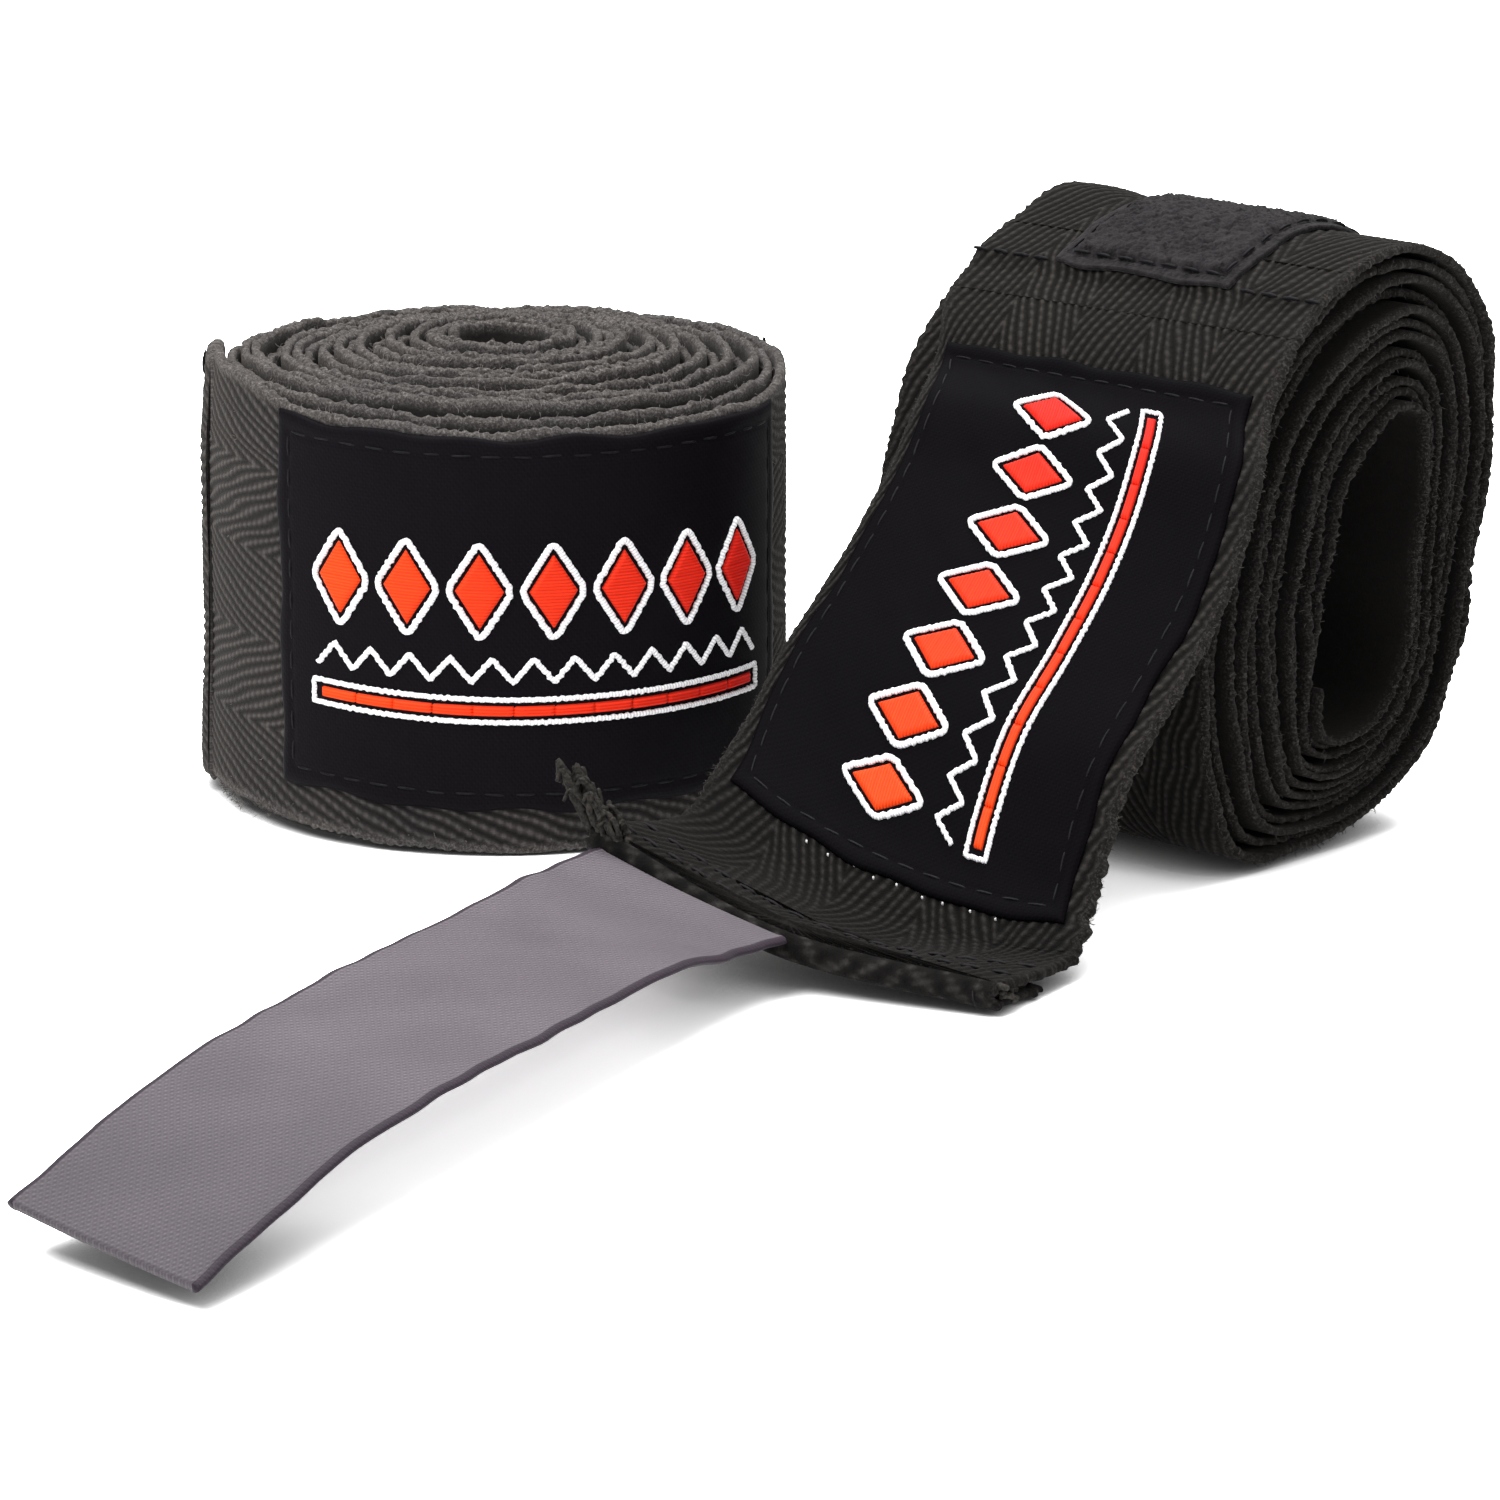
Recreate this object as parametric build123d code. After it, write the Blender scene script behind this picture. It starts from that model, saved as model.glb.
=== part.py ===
from build123d import *
import os, math
import numpy as np

# ---------------------------------------------------------------------------
# A pair of boxing hand wraps: 50 mm wide knitted cotton bands, 2.5 m long.
# One wrap is rolled up and closed with its hook tape round the back.  The
# other lies on its rim with the outer end peeled off the roll: sewn-on label
# panel, folded hem and hook tape laid out in front of it.
# Millimetres, +Z up, origin at the centre of the closed roll's base.
# ---------------------------------------------------------------------------
BAND_W = 50.0            # band width
BAND_T = 1.20            # band thickness
# closed roll
R_OUT = 33.3             # outer radius at the band's outer end
R_CORE = 6.2             # radius at the band's inner end
A_PITCH = 1.50           # radial step per turn
A_END = -94.0            # outer end of the band, degrees (0 = front, + = to +X)
LABEL_L, LABEL_W, LABEL_T = 64.0, 42.5, 0.45
LABEL_A0, LABEL_A1 = -47.0, 70.0
PATCH_A0, PATCH_A1 = 112.0, 178.0
PATCH_W, PATCH_T = 25.0, 1.5
TAPE_W, TAPE_T, HOOK_T = 25.0, 0.55, 0.55
TAPE_A0, TAPE_FLEX, TAPE_A1 = -95.3, -158.0, -244.0
CLR = 0.06
GRID = 10.0              # facet step round the rolls, degrees
# open roll: local frame x along the roll's axis, y away from the tail, z up
YAW = 43.0
OB = (66.15, -22.79, 0.0)
B_TURNS = 12
OUTER = [(-4.4, 1.6), (-9.1, 10.1), (-11.1, 21.8), (-9.9, 33.0), (-6.7, 45.6), (-1.1, 56.2), (10.8, 64.7),
         (23.9, 67.8), (34.2, 64.0), (40.4, 56.6), (42.0, 44.2), (40.2, 29.7), (37.4, 17.9), (32.2, 8.5),
         (22.5, 2.6), (8.5, 0.0)]
CORE = [(10.2, 15.5), (11.4, 23.3), (12.6, 31.0), (14.7, 38.7), (18.6, 44.6), (23.5, 48.2), (27.6, 47.0),
        (28.2, 42.0), (27.6, 35.0), (27.2, 27.9), (26.6, 20.5), (23.5, 15.3), (17.5, 12.6), (12.5, 12.9)]
# tail mid-line beyond the roll: x, y, z, yaw, elevation of the cross direction
TAIL = [(64.8, -33.6, 47.9, 41.2, -2.6), (62.5, -38.0, 42.0, 40.0, -3.9), (59.4, -42.6, 36.1, 38.9, -5.2),
        (54.9, -48.0, 29.1, 39.2, -6.2), (50.0, -53.3, 22.5, 39.4, -7.3), (46.8, -58.3, 15.9, 37.6, -9.4),
        (44.9, -62.4, 11.2, 36.3, -11.2), (43.0, -66.3, 7.6, 35.9, -11.8)]
LAB_S0, LAB_S1 = 12.3, 76.3
HEM_L, HEM_M, HEM_R = (12.0, -69.5, 13.3), (31.5, -83.0, 6.6), (54.5, -93.0, 3.2)
TAPE = [(-3.0, 23.2, -75.9, 8.0, 33.0, -15.5), (0, 21.9, -78.6, 8.4, 32.3, -15.0), (12, 16.6, -89.6, 9.6, 31.5, -11.8), (25, 11.7, -100.6, 10.9, 31.1, -8.3),
        (37, 6.4, -111.9, 11.4, 31.6, -6.5), (50, 0.8, -123.0, 11.6, 32.5, -6.5), (62, -5.1, -134.0, 11.5, 33.8, -6.2),
        (75, -11.2, -144.9, 11.0, 35.3, -5.5), (87, -17.7, -155.4, 9.5, 37.3, -4.5), (100, -24.1, -165.6, 6.6, 39.3, -5.6),
        (112, -30.3, -175.6, 3.4, 41.0, -6.5)]
T_FLEX = 52.0
# stitches
ST_L, ST_W, ST_T, ST_PITCH = 2.5, 0.45, 0.28, 3.6

os.makedirs("parts", exist_ok=True)


def V(p):
    return Vector(*[float(c) for c in p])


def save(name, *solids):
    flat = []
    for s in solids:
        flat += list(s) if isinstance(s, (list, tuple)) else [s]
    obj = flat[0] if len(flat) == 1 else Compound(children=flat)
    obj.label = name
    export_step(obj, "parts/%s.step" % name)


# ------------------------------------------------------------ generic shapes
def strip(inner, outer, origin, xdir, normal, w0, w1):
    """Flat-faced solid between two 2D polylines, extruded along the plane's normal from w0 to w1."""
    pl = Plane(origin=V(origin), x_dir=V(xdir), z_dir=V(normal))
    pts = [pl.from_local_coords(Vector(float(q[0]), float(q[1]), float(w0))) for q in list(inner) + list(outer)[::-1]]
    return Solid.extrude(Face(Wire.make_polygon(pts, close=True)), V(np.array(tuple(pl.z_dir)) * (w1 - w0)))


def skin(secs):
    """Closed solid of flat triangles through cross-sections with matching points, flat polygons at the ends."""
    secs = [[np.array(p, float) for p in q] for q in secs]
    faces = []

    def tri(a, b, c):
        if np.linalg.norm(np.cross(b - a, c - a)) > 1e-7:
            faces.append(Face(Wire.make_polygon([V(a), V(b), V(c)], close=True)))
    k = len(secs[0])
    for q0, q1 in zip(secs[:-1], secs[1:]):
        for i in range(k):
            j = (i + 1) % k
            tri(q0[i], q0[j], q1[j])
            tri(q0[i], q1[j], q1[i])
    for q in (secs[0], secs[-1]):
        faces.append(Face(Wire.make_polygon([V(p) for p in q], close=True)))
    return Solid(Shell(faces))


def cubic(x, xs, ys):
    """Natural-looking smooth interpolation (finite-difference Hermite)."""
    xs = np.asarray(xs, float); ys = np.asarray(ys, float)
    m = np.gradient(ys, xs, axis=0)
    x = min(max(x, xs[0]), xs[-1])
    i = int(min(max(np.searchsorted(xs, x, side="right") - 1, 0), len(xs) - 2))
    h = xs[i + 1] - xs[i]
    t = (x - xs[i]) / h
    return ((2*t**3 - 3*t*t + 1) * ys[i] + (t**3 - 2*t*t + t) * h * m[i]
            + (-2*t**3 + 3*t*t) * ys[i + 1] + (t**3 - t*t) * h * m[i + 1])


class Path:
    """Mid-line of a hanging strip with its cross direction."""
    def __init__(self, rows):
        r = np.array(rows, float)
        self.s = r[:, 0]
        self.m = r[:, 1:4]
        self.a = r[:, 4:6]

    def at(self, s):
        m = cubic(s, self.s, self.m)
        s = min(max(s, self.s[0] + 0.01), self.s[-1] - 0.01)
        t = cubic(min(s + 0.05, self.s[-1]), self.s, self.m) - cubic(max(s - 0.05, self.s[0]), self.s, self.m)
        t /= np.linalg.norm(t)
        yaw, el = np.radians(cubic(s, self.s, self.a))
        w = np.array([math.cos(yaw) * math.cos(el), -math.sin(yaw) * math.cos(el), math.sin(el)])
        n = np.cross(w, t)
        n /= np.linalg.norm(n)
        if n[2] < 0:
            n = -n
        return m, t, n, w

    def slab(self, s0, s1, ws, n0, n1, step=6.0):
        """Curved slab; ws are the cross positions of its corners and creases."""
        secs = []
        k = [g for g in np.arange(0, 200, step) if s0 + 0.4 < g < s1 - 0.4]
        for s in [s0] + k + [s1]:
            m, t, n, w = self.at(s)
            q = [m + w * c + n * n0 for c in ws[::-1]] + [m + w * c + n * n1 for c in ws]
            secs.append(q)
        return skin(secs)

    def plate(self, s, wc, poly, n0, h):
        """Flat little prism; poly is in (cross, along) coordinates about (wc, s)."""
        m, t, n, w = self.at(s)
        o = m + w * wc + n * n0
        pl = Plane(origin=V(o), x_dir=V(w), z_dir=V(n))
        y = np.array(tuple(pl.y_dir))
        sg = 1.0 if np.dot(y, t) > 0 else -1.0
        pts = [V(o + w * a + y * (b * sg)) for a, b in poly]
        return Solid.extrude(Face(Wire.make_polygon(pts, close=True)), V(n * h))


def rect(a, b):
    return [(-a / 2, -b / 2), (a / 2, -b / 2), (a / 2, b / 2), (-a / 2, b / 2)]


# ------------------------------------------------------------- closed roll
def rad(deg):
    """Outer surface radius of the closed roll's outermost turn."""
    return R_OUT - A_PITCH * (deg - A_END) / 360.0


def pol(r, deg):
    a = math.radians(deg)
    return (r * math.sin(a), -r * math.cos(a))


def a_strip(r_in, r_out, d0, d1, z0, z1, n=None):
    lo, hi = min(d0, d1), max(d0, d1)
    k = [g for g in np.arange(-400, 400, GRID) + A_END if lo + 0.5 < g < hi - 0.5]
    dd = [lo] + k + [hi]
    return strip([pol(r_in(d), d) for d in dd], [pol(r_out(d), d) for d in dd], (0, 0, 0), (1, 0, 0), (0, 0, 1), z0, z1)


def a_plate(deg, z, poly, r, h):
    """Little flat prism tangent to the closed roll; poly in (along, up)."""
    a = math.radians(deg)
    nrm = np.array([math.sin(a), -math.cos(a), 0.0])
    tan = np.array([math.cos(a), math.sin(a), 0.0])
    o = nrm * r + np.array([0, 0, z])
    pts = [V(o + tan * u + np.array([0, 0, v])) for u, v in poly]
    return Solid.extrude(Face(Wire.make_polygon(pts, close=True)), V(nrm * h))


TURNS = (R_OUT - R_CORE) / A_PITCH
hem_in = A_END + 12.0      # the last 12 degrees of the band are the hem
dd = [hem_in] + [g for g in A_END + GRID * np.arange(1, int(360 * TURNS / GRID)) if g > hem_in + 0.5]
save("closed_band_roll",
     strip([pol(rad(d) - BAND_T, d) for d in dd], [pol(rad(d), d) for d in dd], (0, 0, 0), (1, 0, 0), (0, 0, 1), 0, BAND_W))
# folded hem: double layer of band at the outer end
save("closed_band_hem", a_strip(lambda d: rad(d) - BAND_T, lambda d: rad(d) + 0.9, A_END, hem_in - 0.4, 0, BAND_W, 5))

zc = BAND_W / 2
zl = zc + 1.3             # the label sits a little high on the closed roll
save("closed_label", a_strip(lambda d: rad(d) + CLR, lambda d: rad(d) + CLR + LABEL_T, LABEL_A0, LABEL_A1, zl - LABEL_W / 2, zl + LABEL_W / 2))
save("closed_loop_patch", a_strip(lambda d: rad(d) + CLR, lambda d: rad(d) + CLR + PATCH_T, PATCH_A0, PATCH_A1, zc - PATCH_W / 2, zc + PATCH_W / 2))


def per_deg(mm, r=R_OUT):
    return math.degrees(mm / r)


# label stitching: a running stitch all round, 2 mm inside the label's edge
def a_stitches_loop(d0, d1, z0, z1, lift):
    out = []
    n = int((d1 - d0) / per_deg(ST_PITCH))
    for i in range(n):
        d = d0 + (i + 0.5) * (d1 - d0) / n
        for z in (z0, z1):
            out.append(a_plate(d, z, rect(ST_L, ST_W), rad(d) + lift, ST_T))
    m = int((z1 - z0) / ST_PITCH)
    for i in range(m):
        z = z0 + (i + 0.5) * (z1 - z0) / m
        for d in (d0, d1):
            out.append(a_plate(d, z, rect(ST_W, ST_L), rad(d) + lift, ST_T))
    return out


save("closed_label_stitching",
     a_stitches_loop(LABEL_A0 + per_deg(2), LABEL_A1 - per_deg(2), zl - LABEL_W / 2 + 2, zl + LABEL_W / 2 - 2, CLR + LABEL_T + 0.03))
save("closed_loop_patch_stitching",
     a_stitches_loop(PATCH_A0 + per_deg(2), PATCH_A1 - per_deg(2), zc - PATCH_W / 2 + 1.5, zc + PATCH_W / 2 - 1.5, CLR + PATCH_T + 0.03))
# seam across the band where the patch starts
seam = []
for i in range(13):
    z = 2.0 + (i + 0.5) * (BAND_W - 4) / 13
    if abs(z - zc) > PATCH_W / 2 + 1.5:
        seam.append(a_plate(PATCH_A0 + 1.0, z, rect(ST_W, ST_L), rad(PATCH_A0) + 0.03, ST_T))
save("closed_cross_seam", seam)
# hem stitching: two rows across the hem
hs = []
for i in range(13):
    z = 2.0 + (i + 0.5) * (BAND_W - 4) / 13
    for d in (A_END + 3.5, A_END + 8.0):
        hs.append(a_plate(d, z, rect(ST_W, ST_L), rad(d) + 0.94, ST_T))
save("closed_hem_stitching", hs)

# ----------------------------------------------------------- label ornament
# A plain row of seven lozenges over a zigzag line and a slim bar.
LOZ_W, LOZ_H, LOZ_N, LOZ_PITCH = 6.6, 11.0, 7, 7.7
MOTIF_H = 0.45


def motif(place):
    """place(along, up, polygon) -> solid; along/up from the label's centre."""
    out = []
    for i in range(LOZ_N):
        u = (i - (LOZ_N - 1) / 2) * LOZ_PITCH
        out.append(place(u, 4.0, [(-LOZ_W / 2, 0), (0, -LOZ_H / 2), (LOZ_W / 2, 0), (0, LOZ_H / 2)]))
    for i in range(12):
        u = (i - 5.5) * 4.3
        s = 1 if i % 2 else -1
        out.append(place(u, -5.0, [(-1.9, -1.2 * s - 0.3), (1.9, 1.2 * s - 0.3), (1.9, 1.2 * s + 0.3), (-1.9, -1.2 * s + 0.3)]))
    for i in range(12):
        u = (i - 5.5) * 4.3
        out.append(place(u, -9.6, rect(4.1, 1.9)))
    return out


lab_c = (LABEL_A0 + LABEL_A1) / 2
save("closed_label_motif",
     motif(lambda u, v, poly: a_plate(lab_c + per_deg(u), zl + v, poly, rad(lab_c + per_deg(u)) + CLR + LABEL_T + 0.04, MOTIF_H)))


# hook tape round the back of the closed roll, over the loop patch
def tape_r(d):
    """Inner radius of the tape: close to the band, stepping over the patch."""
    e = d + 360.0                       # band angle under the tape
    step = np.interp(d, [TAPE_A1, -179, -169, -134, -114, TAPE_A0], [PATCH_T, PATCH_T, 0.0, 0.0, 0.5, 0.9])
    return rad(e) + 0.56 + float(step)


def tape_arc(d0, d1, a, b, w):
    return a_strip(lambda d: tape_r(d) + a, lambda d: tape_r(d) + b, d0, d1, zc - w / 2, zc + w / 2, max(6, int(abs(d1 - d0) / 7)))


G = 0.6   # half gap at the flex lines, degrees
save("closed_tape_root", tape_arc(TAPE_A0, TAPE_FLEX + G, HOOK_T, HOOK_T + TAPE_T, TAPE_W))
save("closed_tape_tip", tape_arc(TAPE_FLEX - G, TAPE_A1, HOOK_T, HOOK_T + TAPE_T, TAPE_W))
save("closed_hooks_root", tape_arc(TAPE_A0 - 6, TAPE_FLEX + G + 0.3, 0.02, HOOK_T - 0.12, TAPE_W - 3))
save("closed_hooks_tip", tape_arc(TAPE_FLEX - G - 0.3, TAPE_A1 + 1.5, 0.02, HOOK_T - 0.12, TAPE_W - 3))


# thumb loop: a doubled narrow tape standing in the core
def loop_solid(cx, cy, ang, z0, h, w, gap, t):
    """Flat ring of tape, seen from the side a long U; extruded over the tape width w."""
    R1 = gap / 2 + t
    R0 = gap / 2
    pl = Plane(origin=(cx, cy, 0), x_dir=(math.cos(ang), math.sin(ang), 0), z_dir=(-math.sin(ang), math.cos(ang), 0))
    # plane local: x across, y = z_dir x x_dir
    up = np.array(tuple(pl.y_dir))
    x = np.array(tuple(pl.x_dir))
    sg = 1.0 if up[2] > 0 else -1.0
    nz = np.array(tuple(pl.z_dir))
    o = np.array([cx, cy, 0.0]) - nz * w / 2

    def P(a, b):
        return V(o + x * a + np.array([0, 0, b]))
    zt = z0 + h
    bend = np.radians(np.linspace(0, 180, 11))
    pts = [P(R1, z0)] + [P(R1 * math.cos(b), zt - R1 + R1 * math.sin(b)) for b in bend] + [P(-R1, z0), P(-R0, z0)]
    pts += [P(R0 * math.cos(b), zt - R1 + R0 * math.sin(b)) for b in bend[::-1]] + [P(R0, z0)]
    return Solid.extrude(Face(Wire.make_polygon(pts, close=True)), V(nz * w))


save("closed_thumb_loop", loop_solid(0, 0, 0.5, 6, 36, 3.2, 2.2, 0.9))
save("closed_thumb_loop_bartack",
     Solid.extrude(Face(Wire.make_polygon([V((math.cos(0.5) * a - math.sin(0.5) * b, math.sin(0.5) * a + math.cos(0.5) * b, 7.0)) for a, b in rect(2.0, 2.6)], close=True)), V((0, 0, 3.0))))

# --------------------------------------------------------------- open roll
yaw = math.radians(YAW)
wB = np.array([math.cos(yaw), -math.sin(yaw), 0.0])
pB = np.array([math.sin(yaw), math.cos(yaw), 0.0])
CB = np.array([18.5, 32.0])


def polar_table(pts):
    """Closed outline as radius over angle about CB; angle 0 = +z, positive towards +y of the local frame."""
    rows = []
    for p, z in pts:
        v = np.array([p, z]) - CB
        rows.append((math.degrees(math.atan2(v[0], v[1])) % 360.0, np.hypot(*v)))
    rows.sort()
    a = np.array([r[0] for r in rows]); r = np.array([r[1] for r in rows])
    return np.concatenate([a[-3:] - 360, a, a[:3] + 360]), np.concatenate([r[-3:], r, r[:3]])


OA, OR_ = polar_table(OUTER)
CA, CR = polar_table(CORE)


def r_outer(a):
    return cubic(a % 360.0, OA, OR_)


def r_core(a):
    return cubic(a % 360.0, CA, CR)


SEAM_A = math.degrees(math.atan2(7.9 - CB[0], 61.6 - CB[1]))      # where the tail leaves, about -20 degrees


def b_pt(turn, off=0.0):
    """Point on the band's outer surface after `turn` turns from the seam, moved in by off."""
    a = SEAM_A + 360.0 * turn
    u = turn / B_TURNS
    ro, rc = r_outer(a), r_core(a)
    r = ro - (ro - rc) * u
    pitch = (ro - rc) / B_TURNS
    r -= off * pitch
    rr = math.radians(a)
    return (CB[0] + r * math.sin(rr), CB[1] + r * math.cos(rr))


def grid_t(t0, t1):
    g = GRID / 360.0
    return [t0] + [k * g for k in range(int(t0 / g), int(t1 / g) + 2) if t0 + 0.2 * g < k * g < t1 - 0.2 * g] + [t1]


def b_strip(t0, t1, o_out, o_in, x0, x1):
    tt = grid_t(t0, t1)
    return strip([b_pt(t, o_in) for t in tt], [b_pt(t, o_out) for t in tt], OB, tuple(pB), tuple(wB), x0, x1)


# plane: x = pB, normal = wB, so its y is +z
save("open_band_roll", b_strip(0.004, B_TURNS - 0.35, 0.0, 0.74, -BAND_W / 2, BAND_W / 2))


def b_shell(t0, t1, h0, h1, x0, x1):
    tt = grid_t(t0, t1)

    def pt(t, h):
        q = np.array(b_pt(t))
        d = q - CB
        return q + d / np.linalg.norm(d) * h
    return strip([pt(t, h0) for t in tt], [pt(t, h1) for t in tt], OB, tuple(pB), tuple(wB), x0, x1)


def b_plate(turn, x, poly, lift, h):
    """Flat prism tangent to the open roll; poly in (across, along the band)."""
    q = np.array(b_pt(turn)); q1 = np.array(b_pt(turn + 0.004)); q0 = np.array(b_pt(turn - 0.004))
    t2 = (q1 - q0) / np.linalg.norm(q1 - q0)
    n2 = np.array([-t2[1], t2[0]])
    if np.dot(n2, q - CB) < 0:
        n2 = -n2
    t3 = pB * t2[0] + np.array([0, 0, 1.0]) * t2[1]
    n3 = pB * n2[0] + np.array([0, 0, 1.0]) * n2[1]
    o = np.array(OB) + pB * q[0] + np.array([0, 0, q[1]]) + wB * x + n3 * lift
    pts = [V(o + wB * a + t3 * b) for a, b in poly]
    return Solid.extrude(Face(Wire.make_polygon(pts, close=True)), V(n3 * h))


PT0, PT1 = 0.006, 0.150
save("open_loop_patch", b_shell(PT0, PT1, CLR, CLR + PATCH_T, -PATCH_W / 2, PATCH_W / 2))
ps = []
for i in range(6):
    x = -10.5 + 4.2 * i
    for t in (PT0 + 0.010, PT1 - 0.010):
        ps.append(b_plate(t, x, rect(ST_L, ST_W), CLR + PATCH_T + 0.08, ST_T))
for i in range(5):
    t = PT0 + 0.024 + (PT1 - PT0 - 0.048) * i / 4
    for x in (-11.0, 11.0):
        ps.append(b_plate(t, x, rect(ST_W, ST_L), CLR + PATCH_T + 0.08, ST_T))
save("open_loop_patch_stitching", ps)
cs = []
for i in range(13):
    x = -23.0 + (i + 0.5) * 46.0 / 13
    if abs(x) > PATCH_W / 2 + 1.6:
        cs.append(b_plate(0.014, x, rect(ST_L, ST_W), 0.05, ST_T))
save("open_cross_seam", cs)

hb = BAND_T / 2
# the tail first lies on the roll's second turn, then hangs free
rows = []
for dlt, x, el in ((0.0, 1.2, 0.5), (9.0, 1.8, 0.4), (18.0, 2.4, 0.2), (27.0, 3.0, 0.0)):
    q = np.array(b_pt(1 - dlt / 360.0))
    d = (q - CB) / np.linalg.norm(q - CB)
    q = q + d * (hb + 0.22)
    rows.append(tuple(np.array(OB) + pB * q[0] + np.array([0, 0, q[1]]) + wB * x) + (YAW, el))
rows += TAIL
arc = np.concatenate([[0.0], np.cumsum(np.linalg.norm(np.diff(np.array(rows)[:, :3], axis=0), axis=1))])
print("tail length", round(arc[-1], 2))
TAIL_END = float(arc[-1])
tail = Path([(a,) + tuple(r) for a, r in zip(arc, rows)])
save("open_tail_band", tail.slab(0.6, TAIL_END - 0.4, (25, LABEL_W / 2, -LABEL_W / 2, -25), -hb, hb, 4.0))
save("open_label", tail.slab(LAB_S0, LAB_S1, (-LABEL_W / 2, LABEL_W / 2), hb + 0.05, hb + 0.05 + LABEL_T, 4.0))
zt = hb + 0.05 + LABEL_T
ls = []
n = int((LAB_S1 - LAB_S0 - 4) / ST_PITCH)
for i in range(n):
    s = LAB_S0 + 2 + (i + 0.5) * (LAB_S1 - LAB_S0 - 4) / n
    for w in (-LABEL_W / 2 + 2, LABEL_W / 2 - 2):
        ls.append(tail.plate(s, w, rect(ST_W, ST_L), zt + 0.28, ST_T))
n = int((LABEL_W - 4) / ST_PITCH)
for i in range(n):
    w = -LABEL_W / 2 + 2 + (i + 0.5) * (LABEL_W - 4) / n
    for s in (LAB_S0 + 2, LAB_S1 - 2):
        ls.append(tail.plate(s, w, rect(ST_L, ST_W), zt + 0.28, ST_T))
save("open_label_stitching", ls)
lab_s = (LAB_S0 + LAB_S1) / 2
# the ornament reads from the hem towards the roll, its top to the left edge
save("open_label_motif", motif(lambda u, v, poly: tail.plate(lab_s - u, -v, [(-b, -a) for a, b in poly], zt + 0.22, MOTIF_H)))

# hem: skewed sheet with its end folded double
m1, t1, n1, w1 = tail.at(TAIL_END)
hl, hm, hr = (np.array(q) for q in (HEM_L, HEM_M, HEM_R))
c0 = m1 + t1 * 0.6


def hem_section(f, e):
    """Cross section through the hem at fraction f across the band, ending at e."""
    a = c0 + w1 * (-25 + 50 * f)
    d = e - a
    L = np.linalg.norm(d)
    d /= L
    along = (hr - hl) / np.linalg.norm(hr - hl)
    n = np.cross(along, d)
    n /= np.linalg.norm(n)
    if n[2] < 0:
        n = -n
    back = 8.0
    # sheet mid-line lies 0.7 above the fold's centre line
    prof = [(0, -hb), (0, hb), (L - 0.9, hb), (L, hb - 0.9), (L, -hb - 1.5), (L - 0.9, -hb - 2.2), (L - back, -hb - 2.2),
            (L - back, -hb - 1.1), (L - 1.3, -hb - 1.1), (L - 1.3, -hb)]
    return [a + d * u + n * v for u, v in prof]


HEM_LOW = 2.2 + hb
secs = []
for f, e in ((0.0, hl), (0.5, hm), (1.0, hr)):
    secs.append(hem_section(f, e))
save("open_band_hem", skin(secs))

hs = []
for i in range(13):
    f = 0.03 + 0.94 * (i + 0.5) / 13
    e = hl + (hm - hl) * f * 2 if f < 0.5 else hm + (hr - hm) * (f - 0.5) * 2
    a = c0 + w1 * (-25 + 50 * f)
    d = (e - a) / np.linalg.norm(e - a)
    al = (hr - hl) / np.linalg.norm(hr - hl)
    nn = np.cross(al, d); nn /= np.linalg.norm(nn)
    nn = nn if nn[2] > 0 else -nn
    dd_ = np.cross(nn, al)
    for back in (3.0, 7.0):
        o = e - d * back + nn * (hb + 0.45)
        pts = [V(o + al * u + d * v) for u, v in rect(ST_L, ST_W)]
        hs.append(Solid.extrude(Face(Wire.make_polygon(pts, close=True)), V(nn * ST_T)))
save("open_hem_stitching", hs)

tape = Path(TAPE)
save("open_tape_root", tape.slab(-1.2, T_FLEX - 0.3, (TAPE_W / 2, -TAPE_W / 2), -TAPE_T / 2, TAPE_T / 2))
save("open_tape_tip", tape.slab(T_FLEX + 0.3, 112.0, (TAPE_W / 2, -TAPE_W / 2), -TAPE_T / 2, TAPE_T / 2))
save("open_hooks_root", tape.slab(3.0, T_FLEX - 0.8, (TAPE_W / 2 - 1.5, -TAPE_W / 2 + 1.5), -TAPE_T / 2 - HOOK_T, -TAPE_T / 2 - 0.12))
save("open_hooks_tip", tape.slab(T_FLEX + 0.8, 111.0, (TAPE_W / 2 - 1.5, -TAPE_W / 2 + 1.5), -TAPE_T / 2 - HOOK_T, -TAPE_T / 2 - 0.12))

lc = np.array(OB) + pB * 19.5
save("open_thumb_loop", Pos(0, 0, 0) * loop_solid(lc[0], lc[1], yaw + math.pi / 2 - 2 * yaw, 17.0, 24.0, 12.0, 4.0, 1.0))
bt = []
c2 = lc + np.array([0, 0, 18.0])
x2 = pB
bt.append(Solid.extrude(Face(Wire.make_polygon([V(c2 + x2 * a + wB * b) for a, b in rect(3.6, 9.0)], close=True)), V((0, 0, 3.0))))
save("open_thumb_loop_bartack", bt)

# joint points for the record
for nm, P, s in (("tail seam", tail, 0.3), ("hem", tail, TAIL_END), ("tape root", tape, -1.4), ("tape flex", tape, T_FLEX)):
    m, t, nn, w = P.at(s)
    print(nm, [round(float(c) / 1000, 6) for c in m], "w", [round(float(c), 6) for c in w], "n", nn.round(3))
print("c0", c0.round(2), "SEAM_A", round(SEAM_A, 2))
print("closed hinge root", [round(c / 1000, 6) for c in pol(tape_r(TAPE_A0) + HOOK_T / 2, TAPE_A0)], "flex",
      [round(c / 1000, 6) for c in pol(tape_r(TAPE_FLEX) + HOOK_T + TAPE_T, TAPE_FLEX)])
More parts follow.
